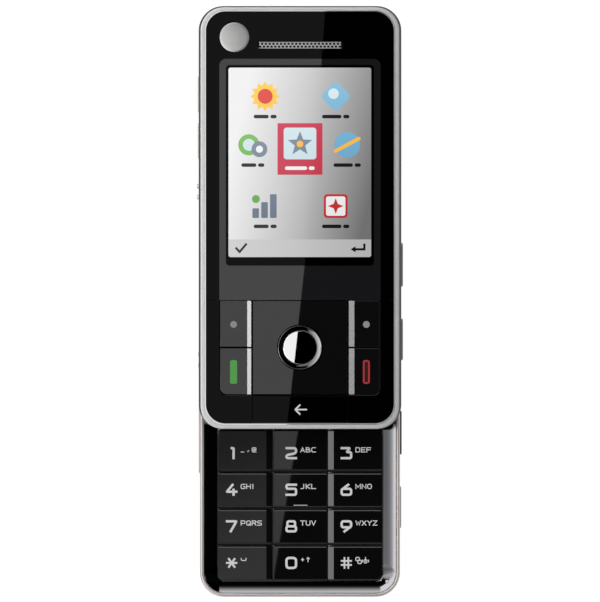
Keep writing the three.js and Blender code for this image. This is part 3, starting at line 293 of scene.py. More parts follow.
def rounded(low, high, radius, steps=12, left=(), right=()):
    """Counter-clockwise outline of a rounded rectangle. Each corner is a quarter circle in equal
    angles about a point one radius inside both sides, from the lower right corner on. The left
    and right sides take extra points at the given heights."""
    radii = np.broadcast_to(np.asarray(radius, float), 4)
    turn = np.linspace(0, np.pi / 2, steps)
    parts = []
    for corner, (at_right, at_top) in enumerate(((1, 0), (1, 1), (0, 1), (0, 0))):
        r = radii[corner]
        middle_x = high[0] - r if at_right else low[0] + r
        middle_y = high[1] - r if at_top else low[1] + r
        angle = turn + (corner - 1) * np.pi / 2
        parts.append(np.column_stack((middle_x + r * np.cos(angle), middle_y + r * np.sin(angle))))
        if corner == 0 and len(right):
            parts.append(np.column_stack((np.full(len(right), high[0]), np.sort(right))))
        if corner == 2 and len(left):
            parts.append(np.column_stack((np.full(len(left), low[0]), np.sort(left)[::-1])))
    return np.vstack(parts)


def inset(low, high, radius, distance, **more):
    """The rounded rectangle moved inwards by a distance, with its radii made smaller by it."""
    radii = np.maximum(np.broadcast_to(np.asarray(radius, float), 4) - distance, 0.01)
    return rounded(np.add(low, distance), np.subtract(high, distance), radii, **more)


def circle(x, y, radius, count=64):
    """Points at equal angles round a centre, counter-clockwise."""
    angle = np.arange(count) * 2 * np.pi / count
    return np.column_stack((x + radius * np.cos(angle), y + radius * np.sin(angle)))


def smooth(share):
    """Goes from 0 to 1 and is level at both ends: three squares less two cubes."""
    share = np.clip(share, 0, 1)
    return share ** 2 * (3 - 2 * share)


def quarter(edge, steps):
    """Points of a quarter circle from a face to its side: distance to the side and height."""
    turn = np.linspace(0, np.pi / 2, steps)
    return np.column_stack((edge * (1 - np.sin(turn)), edge * (1 - np.cos(turn))))


def at(outline, z):
    """A flat outline lifted to a height, or to one height for each point."""
    return np.column_stack((outline, np.broadcast_to(z, len(outline))))


class Skin:
    """Gathers grids of points into one mesh."""

    def __init__(self):
        self.points, self.faces, self.slots, self.start = [], [], [], 0

    def grid(self, rows, slot=0, around=True, loop=False, ends=(False, False)):
        """Joins each row of points to the next with four-sided faces, whose outer side is the
        direction along the row crossed with the direction from row to row. Rows may close on
        themselves, the last row may join the first, and the end rows may be filled."""
        rows = np.asarray(rows, float)
        height, width = rows.shape[:2]
        index = self.start + np.arange(height * width).reshape(height, width)
        self.points.append(rows.reshape(-1, 3))
        self.start += height * width
        below = index if loop else index[:-1]
        above = np.roll(index, -1, 0) if loop else index[1:]
        corners = (below, np.roll(below, -1, 1), np.roll(above, -1, 1), above)
        if not around:
            corners = tuple(corner[:, :-1] for corner in corners)
        self.faces += np.stack(corners, -1).reshape(-1, 4).tolist()
        per_row = width if around else width - 1
        self.slots += np.repeat(np.broadcast_to(slot, len(below)), per_row).tolist()
        for wanted, ring, which in ((ends[0], index[0][::-1], 0), (ends[1], index[-1], -1)):
            if wanted:
                self.faces.append(ring.tolist())
                self.slots.append(int(np.broadcast_to(slot, len(below))[which]))
        return self

    def slab(self, outline, bottom, top, slot=0):
        """A flat outline drawn up from one height to another and filled at both."""
        return self.grid((at(outline, bottom), at(outline, top)), slot, ends=(True, True))

    def plate(self, low, high, radius, edge, slot=0, steps=12):
        """A slab between two corners whose upper edge is a quarter circle of the given size."""
        rows = [at(rounded(low, high, radius, steps), low[2])]
        rows += [at(inset(low[:2], high[:2], radius, back, steps=steps), high[2] - down)
                 for down, back in quarter(edge, 5)]
        return self.grid(rows, slot, ends=(True, True))

    def turned(self, x, y, profile, slot=0, count=64):
        """A profile of radii and heights carried round an upright axis, from foot to top."""
        rows = [at(circle(x, y, radius, count), z) for radius, z in profile]
        return self.grid(rows, slot, ends=(True, True))

    def bar(self, path, width, bottom, top, closed=False, slot=0, rise=0.0):
        """A flat bar carried along a path: across the path it is a rectangle, half its width to
        each side of the path. At a bend the sides meet on the line that halves the angle. The
        top may rise towards the end of the path, so that it doesn't lie in the plane of its
        start."""
        path = np.asarray(path, float)
        run = np.diff(np.vstack((path, path[:1])) if closed else path, axis=0)
        run /= np.linalg.norm(run, axis=1, keepdims=True)
        normal = np.column_stack((-run[:, 1], run[:, 0]))
        if closed:
            before, after = np.roll(normal, 1, 0), normal
        else:
            before, after = np.vstack((normal[:1], normal)), np.vstack((normal, normal[-1:]))
        reach = np.maximum(1 + (before * after).sum(1, keepdims=True), 0.4)
        side = (before + after) / reach * width / 2
        left, right = path + side, path - side
        top = top + np.linspace(0, 0 if closed else rise, len(path))
        rows = np.stack((at(left, top), at(right, top), at(right, bottom), at(left, bottom)), 1)
        return self.grid(rows, slot, loop=closed, ends=(not closed, not closed))

    def wire(self, path, z, radius, closed=False):
        """A round wire along a flat path. Its section is a circle in the plane of the path's
        normal and the upright."""
        path = np.asarray(path, float)
        run = np.roll(path, -1, 0) - np.roll(path, 1, 0) if closed else np.gradient(path, axis=0)
        run /= np.linalg.norm(run, axis=1, keepdims=True)
        section = circle(0, 0, radius, 12)
        normal = np.column_stack((-run[:, 1], run[:, 0], np.zeros(len(run))))
        rows = at(path, z)[:, None] + normal[:, None] * section[:, :1]
        rows[:, :, 2] += section[:, 1]
        return self.grid(rows, loop=closed, ends=(not closed, not closed))

    def piece(self, name, body, finishes, slot=None, replaces=(), crease=35, cuts=(), keep=()):
        """Puts the gathered faces into a mesh that rides on a body. Given anything but a body's
        name, the mesh stays where it is made, with its place put into its points. Finishes are
        names or materials. Solids in cuts are taken away from it, and it is kept only inside the
        solids in keep."""
        made = self.loose(name)
        made.data.polygons.foreach_set("material_index", self.slots)
        for look in finishes:
            made.data.materials.append(finish(look) if isinstance(look, str) else look)
        made.data.shade_smooth()
        if cuts or keep:
            carve(made, cuts, keep)
            for face in made.data.polygons:
                face.use_smooth = abs(face.normal.z) < 0.9999
        made.data.set_sharp_from_angle(angle=np.radians(crease))
        level = made.modifiers.new("Level faces", "WEIGHTED_NORMAL")
        level.keep_sharp = True
        if isinstance(body, str):
            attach(made, body)
        else:
            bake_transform(made)
        if replaces:
            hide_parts(*replaces)
        return made

    def loose(self, name):
        return new_object(name, np.vstack(self.points) * MM, self.faces)


def new_object(name, points, faces):
    """A mesh object in the scene, from points in metres."""
    mesh = bpy.data.meshes.new(name)
    mesh.from_pydata(np.asarray(points).tolist(), [], faces)
    made = bpy.data.objects.new(name, mesh)
    bpy.context.scene.collection.objects.link(made)
    return made


def carve(made, cuts, keep):
    """Takes the cutting solids away and keeps what lies in the others, and puts the result into
    the object's own mesh."""
    helpers = []
    for mode, solids in (("INTERSECT", keep), ("DIFFERENCE", cuts)):
        for solid in solids:
            helpers.append(solid.loose("cutter"))
            step = made.modifiers.new("Cut", "BOOLEAN")
            step.operation, step.object, step.solver = mode, helpers[-1], "EXACT"
    bpy.context.view_layer.update()
    whole = made.evaluated_get(bpy.context.evaluated_depsgraph_get())
    result = bpy.data.meshes.new_from_object(whole)
    if not len(result.polygons):
        raise RuntimeError(made.name + " has nothing left after its cuts")
    made.modifiers.clear()
    made.data = result
    for helper in helpers:
        bpy.data.objects.remove(helper)


def soften(points, radius, closed=False, steps=5):
    """Rounds the corners of a path: each corner point becomes a curve that starts and ends one
    radius away along its two sides, with the corner as its middle control point."""
    points = np.asarray(points, float)
    count = len(points)
    share = np.linspace(0, 1, steps)[:, None]
    parts = []
    for i in range(count):
        if not closed and i in (0, count - 1):
            parts.append(points[i:i + 1])
            continue
        here, before, after = points[i], points[i - 1], points[(i + 1) % count]
        ends = []
        for other in (before, after):
            gap = np.linalg.norm(other - here)
            ends.append(here + (other - here) * min(radius, gap * 0.48) / gap)
        parts.append((1 - share) ** 2 * ends[0] + 2 * share * (1 - share) * here
                     + share ** 2 * ends[1])
    return np.vstack(parts)


def through(points, steps=12):
    """A smooth path through points. Between two points it is the cubic curve that passes each
    of them in the direction from its last neighbour to its next."""
    points = np.asarray(points, float)
    ends = np.vstack((2 * points[0] - points[1], points, 2 * points[-1] - points[-2]))
    slope = (ends[2:] - ends[:-2]) / 2
    t = np.linspace(0, 1, steps, endpoint=False)[:, None]
    a, b, c, d = (x[:, None] for x in (points[:-1], points[1:], slope[:-1], slope[1:]))
    rise = smooth(t)
    path = a * (1 - rise) + b * rise + c * t * (1 - t) ** 2 - d * t ** 2 * (1 - t)
    return np.vstack((path.reshape(-1, 2), points[-1:]))


def side_pad(side, low, high, radius, edge, ribs=()):
    """A pad in a side wall: its outline lies in the plane of the wall, and its outer edge is a
    quarter circle. It may be made of ribs, each with two ends along the phone and a reach."""
    skin = Skin()
    near, far = sorted((abs(low[0]), abs(high[0])))
    for y0, y1, reach in ribs or ((low[1], high[1], far),):
        rows = []
        outer = [(reach - down, back) for down, back in quarter(edge, 4)]
        for x, distance in [(near, 0.0)] + outer:
            flat = inset((y0, low[2]), (y1, high[2]), radius, distance, steps=6)
            ring = np.column_stack((np.full(len(flat), side * x), flat))
            rows.append(ring if side > 0 else ring[::-1])
        skin.grid(rows, ends=(True, True))
    return skin


def side_ribs(node):
    """Ribs of a side key or flap: a notch in the middle, two nubs on a lower pad, or none."""
    low, high = box(node)
    far, middle = max(abs(low[0]), abs(high[0])), (low[1] + high[1]) / 2
    if node in ("volume_rocker", "card_slot_cover"):
        return ((low[1], middle - 1.2, far), (middle - 1.4, middle + 1.4, far - 0.4),
                (middle + 1.2, high[1], far))
    drop = {"lock_switch": 0.4, "socket_cover": 0.25}.get(node)
    return drop and ((low[1], high[1], far - drop), (middle - 1.78, middle - 0.67, far),
                     (middle + 0.67, middle + 1.78, far))


# Glyphs: strokes on a unit square, each with a corner radius as a share of the height and the
# points as two hexadecimal tenths. A stroke whose last point equals its first is closed.
GLYPHS = {
    "0": "0.3 00 A0 AA 0A 00", "1": "0.06 5A 7A 70", "2": "0.22 0A AA A5 03 00 A0",
    "3": "0.17 0A 9A 56 A6 A0 00", "4": "0.05 6A 03 A3;0 75 70", "5": "0.18 AA 0A 06 A6 A0 00",
    "6": "0.1 7A 05 03;0.22 00 A0 A6 06 00", "7": "0.08 0A AA 40",
    "8": "0.2 00 A0 A5 05 00;0.18 15 95 9A 1A 15", "9": "0.1 30 A5 A7;0.22 04 A4 AA 0A 04",
    "*": "0 05 A5;0 29 81;0 21 89", "#": "0 3A 30;0 7A 70;0 07 A7;0 03 A3",
    "A": "0 00 5A A0;0 23 83", "B": "0 00 0A;0.2 0A 8A 86 06;0.2 05 A5 A0 00",
    "C": "0.35 AA 0A 00 A0", "D": "0 00 0A;0.35 0A AA A0 00", "E": "0 AA 0A 00 A0;0 05 95",
    "F": "0 AA 0A 00;0 05 95", "G": "0.3 AA 0A 00 A0 A5 65", "H": "0 00 0A;0 A0 AA;0 05 A5",
    "I": "0 20 2A", "J": "0.3 8A 80 10", "K": "0 00 0A;0 AA 15 A0", "L": "0 0A 00 A0",
    "M": "0 00 0A 63 CA C0", "N": "0 00 0A A0 AA", "O": "0.4 00 A0 AA 0A 00",
    "P": "0 00 0A;0.25 0A AA A4 04", "Q": "0.4 00 A0 AA 0A 00;0 63 A0",
    "R": "0 00 0A;0.25 0A AA A5 05;0 55 A0", "S": "0.3 AA 0A 05 A5 A0 00",
    "T": "0 0A AA;0 5A 50", "U": "0.4 0A 00 A0 AA", "V": "0 0A 50 AA", "W": "0 0A 30 68 90 CA",
    "X": "0 00 AA;0 0A A0", "Y": "0 0A 55 AA;0 55 50", "Z": "0 0A AA 00 A0", "-": "0 00 70",
    ",": "0 53 31", "@": "0.3 A0 00 0A AA A3 33 37 77 74", "_": "0.2 08 13 C3 D8",
    "+": "0 25 85;0 52 58", "^": "0 50 5A;0 27 5A 87",
    "=": "0.2 05 75 7B 0B 05;0.2 40 B0 B6 46 40",
    "%": "0.45 31 91 97 37 31;0 65 64;0 06 03;0 C6 C3;0 6B 68",
}


def write(skin, text, x, y, width, height, stroke, bottom, top, gap):
    """Draws characters one after another from a lower left point. Each is a set of flat bars,
    and each bar ends a little higher than the one before, so that no two tops lie together."""
    for character in text:
        for line in GLYPHS[character].split(";"):
            radius, *pairs = line.split()
            points = np.array([[int(c, 16) / 10 for c in pair] for pair in pairs])
            path = points * (width, height) + (x, y)
            closed = pairs[0] == pairs[-1]
            if closed:
                path = path[:-1]
            if float(radius):
                path = soften(path, float(radius) * height, closed)
            if not closed:
                for end, next_to in ((0, 1), (-1, -2)):
                    run = path[end] - path[next_to]
                    path[end] += run / np.linalg.norm(run) * stroke * 0.45
            skin.bar(path, stroke, bottom, top, closed, rise=0.004)
            top += 0.002
        x += {"I": 0.45, "M": 1.2, "W": 1.2}.get(character, 1.0) * width + gap


# Slider half

class PHONE_OT_bezel(Operator):
    """Metal bezel: a profile carried round between the outer wall and the glass opening"""

    bl_idname = "phone.bezel"
    bl_label = "Bezel"

    def execute(self, context):
        low, high = box("slider_bezel")
        side, end = size("bezel_width"), size("bezel_end_width")
        outer = rounded(low, high, size("shell_corner"), 20)
        inner = rounded(low[:2] + (side, end), high[:2] - (side, end), size("glass_corner"), 20)
        foot, shelf = high[2] - low[2], high[2] - box("front_window")[0][2]
        # Share of the way in, depth below the top and finish of the band that follows.
        profile = (
            (0, foot, 1), (0, 1.2, 1), (0.05, 0.85, 1), (0.15, 0.6, 1), (0.26, 0.5, 1),
            (0.28, 0.06, 0), (0.32, 0.035, 0), (0.38, 0.018, 0), (0.48, 0.007, 0), (0.78, 0, 0),
            (0.8, 0.06, 0), (0.86, 0.06, 2), (0.88, 0, 2), (0.95, 0, 2), (1, 0.08, 2),
            (1, shelf, 1), (1.6, shelf, 1), (1.6, foot, 1),
        )
        # The slope outside the band narrows to a fifth at the foot.
        turn = 0.28
        slope = turn * (0.2 + 0.8 * smooth((outer[:, 1:] - low[1]) / size("shell_corner")))
        rows = []
        for share, depth, _ in profile:
            if share < turn:
                moved = share * slope / turn
            elif share <= 1:
                moved = slope + (share - turn) * (1 - slope) / (1 - turn)
            else:
                moved = share
            rows.append(at(outer + moved * (inner - outer), high[2] - depth))
        skin = Skin().grid(rows, [slot for _, _, slot in profile], loop=True)
        skin.piece("bezel", "slider", ("blasted_silver", "dark_plastic", "polished_lip"),
                   "satin_silver", ("slider_bezel",))
        return {"FINISHED"}


class PHONE_OT_window(Operator):
    """Glass over the screen: a plate with a slot for the earpiece, and the grey panel on it"""

    bl_idname = "phone.window"
    bl_label = "Window"

    def execute(self, context):
        low, high = box("front_window")
        grille_low, grille_high = box("earpiece_grille")
        corner, edge, gap = size("glass_corner"), 0.06, 0.15
        radii = (0.05, corner, corner, 0.05)
        slot = rounded(grille_low[:2] - gap, grille_high[:2] + gap,
                       (grille_high[1] - grille_low[1]) / 2 + gap - 0.01)
        outline = rounded(low, high, radii)
        rows = [at(line, z) for line, z in (
            (outline, low[2]), (outline, high[2] - edge),
            (inset(low[:2], high[:2], radii, edge), high[2]), (slot, high[2]), (slot, low[2]))]
        Skin().grid(rows, loop=True).piece(
            "window_glass", "slider", ("black_glass",), "black_gloss", ("front_window",))
        reach, rise, layer = size("panel_reach"), size("panel_corner"), size("ink")
        panel = rounded((-reach, low[1]), (reach, size("panel_top")), (0.02, rise, rise, 0.02))
        Skin().slab(panel, high[2] - layer, high[2] + layer).piece(
            "screen_panel", "slider", ("panel_glass",), "smoke_gloss")
        return {"FINISHED"}


class PHONE_OT_screen(Operator):
    """Lit screen: a black border, a bright ground, coloured motifs and a soft key bar"""

    bl_idname = "phone.screen"
    bl_label = "Screen"

    def execute(self, context):
        low, high = np.array((-16.22, 10.13)), np.array((16.15, 53.1))
        layer, border = size("ink"), size("screen_border")
        level = box("front_window")[1][2] + layer
        ground = glowing("screen_ground", (238, 238, 239), (112, 112, 113), (-15, 36, 0),
                         (17, 28, 0), 0.04)
        shade = glowing("screen_bar", (203, 203, 204), (176, 176, 177), (-16, 12, 0), (16, 12, 0))
        for name, outline, look, slot in (
            ("screen_border", rounded(low - (border, 1.93), high + border, 0.8), "black_glass",
             "black_gloss"),
            ("screen_ground", rounded(low, high, 0.5), ground, "display_glass"),
            ("screen_bar", rounded(low + 0.02, (high[0] - 0.02, low[1] + 4),
                                   (0.45, 0.05, 0.05, 0.45)), shade, "display_glass"),
        ):
            Skin().slab(outline, level - layer, level + layer).piece(name, "slider", (look,), slot)
            level += layer
        self.motifs(level - layer, layer)
        return {"FINISHED"}

    def motifs(self, level, layer):
        """Simple signs, each with a caption of two bars. All parts of one tone are one piece."""
        tones = {
            "red": ((232, 84, 78), (170, 30, 40)), "blue": ((150, 205, 232), (52, 122, 170)),
            "amber": ((255, 214, 92), (240, 140, 30)), "green": ((150, 210, 110), (46, 130, 60)),
            "slate": ((150, 162, 180), (72, 84, 104)), "ice": ((232, 244, 248), (160, 196, 206)),
            "text": ((40, 40, 42), (22, 22, 24)), "tile": ((214, 74, 96), (176, 40, 62)),
            "white": ((250, 250, 250), (225, 225, 226)),
        }
        skins = {tone: Skin() for tone in tones}

        def tilted(low, high, radius, degrees):
            c, s = np.cos(np.radians(degrees)), np.sin(np.radians(degrees))
            return rounded(low, high, radius) @ np.array(((c, s), (-s, c)))

        def star(points, outer, inner):
            angle = np.arange(2 * points) * np.pi / points + np.pi / 2
            radius = np.where(np.arange(2 * points) % 2, inner, outer)
            return np.column_stack((radius * np.cos(angle), radius * np.sin(angle)))

        def block(half, radius):
            return rounded((-half, -half), (half, half), radius)

        def caption(tone, left, gap, right, lift):
            """Two bars under a motif, on both sides of a gap of 0.4."""
            return [(tone, rounded((x0, -5.0), (x1, -4.2), 0.39), lift)
                    for x0, x1 in ((left, gap), (gap + 0.4, right))]

        short, long = (caption("text", -wide, wide - 1.8, wide, 1) for wide in (2.6, 3.1))
        # The middle of each motif and its parts: tone, outline and lift.
        for middle, parts in (
            ((-7.9, 46.6), [("amber", star(12, 3.4, 2.5), 1), ("red", circle(0, 0, 1.7, 40), 2),
                            *short]),
            ((8.1, 46.6), [("blue", tilted((-2.5, -2.5), (2.5, 2.5), 1.1, 45), 1),
                           ("ice", circle(-0.5, 0.6, 1.2, 32), 2), *long]),
            ((-10.7, 35.6), [("green", circle(-0.9, 0, 2.4, 40), 1),
                             ("ice", circle(-0.9, 0, 1.35, 40), 2),
                             ("slate", circle(1.5, -1, 1.8, 40), 3),
                             ("white", circle(1.5, -1, 0.8, 40), 4), *short]),
            ((0, 34.9), [("tile", rounded((-5.1, -6.1), (5.1, 5.6), 0.15), 1),
                         ("ice", rounded((-3.7, -2.6), (3.7, 4.6), 0.7), 2),
                         ("slate", star(5, 2.9, 1.25) + (0, 0.9), 3),
                         ("amber", circle(0, 0.9, 0.75, 32), 4),
                         *caption("white", -3.4, 1.6, 3.3, 2)]),
            ((10.7, 35.6), [("blue", circle(0, 0, 2.9, 48), 1),
                            ("amber", tilted((-3.4, -0.4), (3.4, 0.4), 0.39, 28), 2), *long]),
            ((-7.9, 21.7), [*(("slate", rounded((x, -2.7), (x + 1.5, top), 0.2), 1)
                              for x, top in ((-2.9, -0.5), (-0.9, 0.9), (1.1, 2.7))),
                            ("green", circle(-2.1, 1.6, 0.9, 32), 1), *short]),
            ((8.1, 21.7), [("red", block(2.7, 0.8), 1), ("white", block(2.2, 0.5), 2),
                           ("red", star(4, 1.8, 0.7), 3), *long]),
        ):
            for tone, outline, lift in parts:
                skins[tone].slab(outline + middle, level - layer, level + lift * layer)
        above = level + 2 * layer
        for path in (((-14.6, 12.3), (-13.7, 11.3), (-12.1, 13.2)),
                     ((14.6, 13.2), (14.6, 11.9), (12.3, 11.9))):
            skins["text"].bar(path, 0.5, level, above)
        skins["text"].slab(np.array(((11.5, 11.9), (12.6, 11.2), (12.6, 12.6))), level, above)
        for tone, (near, far) in tones.items():
            skins[tone].piece("screen_motifs_" + tone, "slider", (
                glowing("screen_" + tone, near, far, (-6, 56, 0), (6, 8, 0)),), "display_glass")


class PHONE_OT_badge(Operator):
    """Bare metal disc in the corner of the glass, with a low crown"""

    bl_idname = "phone.badge"
    bl_label = "Badge disc"

    def execute(self, context):
        low, high = box("badge_disc")
        x, y = (low[:2] + high[:2]) / 2
        radius = (high[0] - low[0]) / 2
        share = np.linspace(1, 0.05, 9)
        crown = [(radius * 0.97 * s, high[2] + 0.06 * (1 - s ** 2)) for s in share]
        profile = [(radius, low[2]), (radius, high[2] - 0.06), (radius * 0.985, high[2] - 0.01)]
        Skin().turned(x, y, profile + crown, count=96).piece(
            "badge", "slider", ("brushed_disc",), "polished_metal", ("badge_disc",))
        return {"FINISHED"}


class PHONE_OT_grille(Operator):
    """Earpiece grille: three long bars joined by staggered posts over a dark cloth"""

    bl_idname = "phone.grille"
    bl_label = "Earpiece grille"

    def execute(self, context):
        low, high = box("earpiece_grille")
        middle = (low[1] + high[1]) / 2
        bottom, top = high[2] - 0.3, high[2]
        bar, post, pitch = 0.17, 0.3, 0.86
        row = (high[1] - low[1] - bar) / 2
        skin = Skin()
        for i in (-1, 0, 1):
            y = middle + i * row
            skin.bar(((low[0] + 0.5, y), (high[0] - 0.5, y)), bar, bottom, top)
        count = int((high[0] - low[0] - 1.2) / pitch)
        for i in range(count + 1):
            x = (i - count / 2) * pitch
            skin.bar(((x, middle), (x, middle + row)), post, bottom + 0.02, top - 0.02)
            if i < count:
                half = x + pitch / 2
                skin.bar(((half, middle - row), (half, middle)), post, bottom + 0.02, top - 0.02)
        skin.piece("grille", "slider", ("grille_metal",), "polished_metal", ("earpiece_grille",))
        outline = rounded(low, high, (high[1] - low[1]) / 2 - 0.01)
        Skin().slab(outline, low[2], bottom - 0.02).piece(
            "grille_cloth", "slider", ("matte_black",), "black_plastic")
        return {"FINISHED"}


class PHONE_OT_lower_panel(Operator):
    """Black glass border of the navigation keys: a strip that turns the corner on each side,
    from the keys' outline to the opening's, on a plain tray"""

    bl_idname = "phone.lower_panel"
    bl_label = "Lower panel"

    def execute(self, context):
        low, high = box("lower_panel")
        key_low = box("send_key")[0]
        edge, inner_corner = 0.05, 1.8
        turn = np.linspace(np.pi, 1.5 * np.pi, 16)

        def strip(x, y, radius):
            arc = radius + radius * np.column_stack((np.cos(turn), np.sin(turn))) + (x, y)
            return np.vstack(((x, high[1]), arc, (-box("clear_key")[1][0] - KEY_GAP, y)))

        inner = strip(key_low[0] - KEY_GAP, key_low[1] - KEY_GAP, inner_corner)
        outer = strip(low[0], low[1], size("glass_corner"))
        top, bottom = high[2], box("front_window")[0][2]
        rows = np.stack([at(outer + share * (inner - outer), z) for share, z in (
            (0, bottom), (0, top - edge), (0.02, top), (0.98, top), (1, top - edge),
            (1, bottom))], 1)
        skin = Skin().grid(rows[::-1], ends=(True, True))
        skin.grid(rows * (-1, 1, 1), ends=(True, True))
        skin.slab(rounded((low[0] + 1, low[1] + 1), (high[0] - 1, high[1]),
                          (3.4, 0.05, 0.05, 3.4)), low[2], key_low[2] - 0.45, 1)
        skin.piece("panel_border", "slider", ("black_glass", "matte_black"), "black_gloss",
                   ("lower_panel",), 10)
        return {"FINISHED"}


class PHONE_OT_panel_keys(Operator):
    """Soft, send and end keys: plates with a rounded edge, a metal strip and a coloured mark"""

    bl_idname = "phone.panel_keys"
    bl_label = "Panel keys"

    def execute(self, context):
        thin, small, large = size("ink"), KEY_CORNER, 1.62
        for node, left, radii in (
            ("left_soft_key", True, small), ("send_key", True, (small, small, small, large)),
            ("right_soft_key", False, small), ("end_key", False, (large, small, small, small)),
        ):
            low, high = box(node)
            Skin().plate(low, high, radii, KEY_EDGE).piece(
                node + "_cap", node, ("key_glass",), "smoke_gloss", (node,))
            x0, x1 = (high[0] - 0.88, high[0] - 0.01) if left else (low[0] + 0.01, low[0] + 1.25)
            strip = rounded((x0, low[1] + 0.02), (x1, high[1] - 0.02), 0.03, 3)
            Skin().slab(strip, high[2] - 0.2, high[2] + thin).piece(
                node + "_strip", node, ("satin_strip",), "polished_metal")
        foot, top = high[2] - thin, high[2] + thin
        line = rounded((14.46, -18.43), (15.64, -13.42), 0.35, 8)
        for node, mark, outline, look in (
            ("left_soft_key", "_dot", circle(-15.07, -5.15, 0.77, 40), "ink_dot"),
            ("right_soft_key", "_dot", circle(15.05, -5.15, 0.77, 40), "ink_dot"),
            ("send_key", "_bar", rounded((-15.87, -18.62), (-14.27, -13.24), 0.42, 8),
             "ink_green"),
        ):
            Skin().slab(outline, foot, top).piece(node + mark, node, (look,))
        skin = Skin().bar(line, 0.4, foot, top, closed=True).slab(line, foot, top - 0.005, 1)
        skin.piece("end_key_bar", "end_key", ("ink_red", "ink_dark_red"))
        return {"FINISHED"}


class PHONE_OT_navigation(Operator):
    """Navigation pad with its round bore, centre key turned from one profile, and clear key"""

    bl_idname = "phone.navigation"
    bl_label = "Navigation keys"

    def execute(self, context):
        low, high = box("nav_pad")
        key_low, key_high = box("centre_key")
        middle = (key_low[:2] + key_high[:2]) / 2
        radius = (key_high[0] - key_low[0]) / 2
        share = np.arange(24)[:, None] / 24
        # Both outlines of the pad with 24 points from each of their points to the next.
        lower, upper = (
            np.vstack([a + share * (b - a) for a, b in zip(line, np.roll(line, -1, 0))])
            for line in (rounded(low, high, KEY_CORNER),
                         inset(low[:2], high[:2], KEY_CORNER, KEY_EDGE)))
        unit = upper - middle
        unit /= np.linalg.norm(unit, axis=1, keepdims=True)
        bore = unit * (radius + KEY_GAP) + middle
        rows = [at(line, z) for line, z in (
            (lower, low[2]), (lower, high[2] - KEY_EDGE), (upper, high[2]), (bore, high[2]),
            (bore, low[2]))]
        Skin().grid(rows, loop=True).piece(
            "nav_pad_cap", "nav_pad", ("key_glass",), "smoke_gloss", ("nav_pad",))

        base, top = key_low[2], key_high[2]
        share = np.linspace(0, 1, 9)
        dish = [(4.92 - 1.08 * s, top - 0.13 * s - 0.01 * np.sin(np.pi * s)) for s in share]
        ring = [(radius, base), (radius, top - 0.1), (radius - 0.05, top - 0.02)] + dish
        disc = [(3.8, base + 0.2), (3.8, top - 0.2), (3.74, top - 0.12), (3.66, top - 0.1)]
        skin = Skin().turned(*middle, ring, 0, 96).turned(*middle, disc, 1, 96)
        skin.piece("centre_key_cap", "centre_key", ("dark_chrome", "mirror"), "polished_metal",
                   ("centre_key",))

        low, high = box("clear_key")
        Skin().plate(low + (0, 0, 0.75), high, KEY_CORNER, KEY_EDGE).piece(
            "clear_key_cap", "clear_key", ("black_glass",), "smoke_gloss", ("clear_key",))
        foot, top = high[2] - size("ink"), high[2] + size("ink")
        head = soften(((0.06, -23.34), (-1.08, -24.46), (0.06, -25.58)), 0.1)
        arrow = Skin().bar(head, 0.37, foot, top)
        arrow.bar(((-1.0, -24.46), (1.6, -24.46)), 0.35, foot, top + 0.003)
        arrow.piece("clear_key_arrow", "clear_key", ("ink_mark",))
        return {"FINISHED"}


# Keys in the slider's walls, with -1 for the left wall and 1 for the right one.
SIDE_KEYS = (("volume_rocker", -1), ("lock_switch", -1), ("camera_key", 1), ("voice_key", 1))


def pockets(rings, spots, depth, bottom):
    """Moves the points of upright rings inwards where a pocket is: each spot is a side and two
    heights along the phone, and only rings above the pocket's floor move."""
    for ring in rings:
        if ring[0, 2] < bottom:
            continue
        for side, y0, y1 in spots:
            reach = np.abs(ring[:, 0]).max()
            hit = (ring[:, 0] * side > reach - 0.01) & (ring[:, 1] > y0) & (ring[:, 1] < y1)
            ring[hit, 0] -= side * depth
    return rings


class PHONE_OT_slider_shell(Operator):
    """Dark rear shell of the slider: one skin from the rail recess round the outside and down
    the inside to its floor, with pockets for the side keys"""

    bl_idname = "phone.slider_shell"
    bl_label = "Slider shell"

    def execute(self, context):
        low, high = box("slider_rear_housing")
        rail_low, rail_high = box("rail_plate")
        spots, left, right = [], [], []
        for node, side in SIDE_KEYS:
            y0, y1 = (corner[1] for corner in box(node))
            extra = 1.0 if node == "lock_switch" else 0.15
            y0, y1 = y0 - extra, y1 + extra
            spots.append((side, y0, y1))
            (left if side < 0 else right).extend((y0 - 0.01, y0 + 0.01, y1 - 0.01, y1 + 0.01))
        ends = {"left": left, "right": right, "steps": 16}
        flat, corner = (low[:2], high[:2]), size("shell_corner")
        floor = box("volume_rocker")[0][2] - 0.15
        outside = [(0.0, floor - 0.02), (0.0, floor), (0.0, high[2])]
        keel = [(distance, low[2] + z) for distance, z in quarter(0.7, 6)]
        rings = [at(inset(*flat, corner, distance, **ends), z) for distance, z in keel + outside]
        rings = pockets(rings, spots, 1.3, floor - 0.01)
        recess = rounded(rail_low[:2] - 0.2, rail_high[:2] + (0.2, 0.5), 0.3, **ends)
        recess[:, 1] = np.clip(recess[:, 1], rail_low[1] - 0.2, rail_high[1] + 0.5)
        inner = inset(*flat, corner, 1.8, **ends)
        rows = [at(recess, rail_high[2]), at(recess, low[2])] + rings
        rows += [at(inner, high[2]), at(inner, rail_high[2] + 0.5)]
        Skin().grid(rows, ends=(True, True)).piece(
            "slider_shell", "slider", ("dark_plastic",), "dark_shell", ("slider_rear_housing",))
        return {"FINISHED"}


class PHONE_OT_slider_sides(Operator):
    """Keys in the slider's side walls: pads with rounded edges"""

    bl_idname = "phone.slider_sides"
    bl_label = "Slider side keys"

    def execute(self, context):
        for node, side in SIDE_KEYS:
            side_pad(side, *box(node), 0.5, 0.18, side_ribs(node)).piece(
                node + "_cap", node, ("side_metal",), "light_trim", (node,))
        return {"FINISHED"}


# Base half

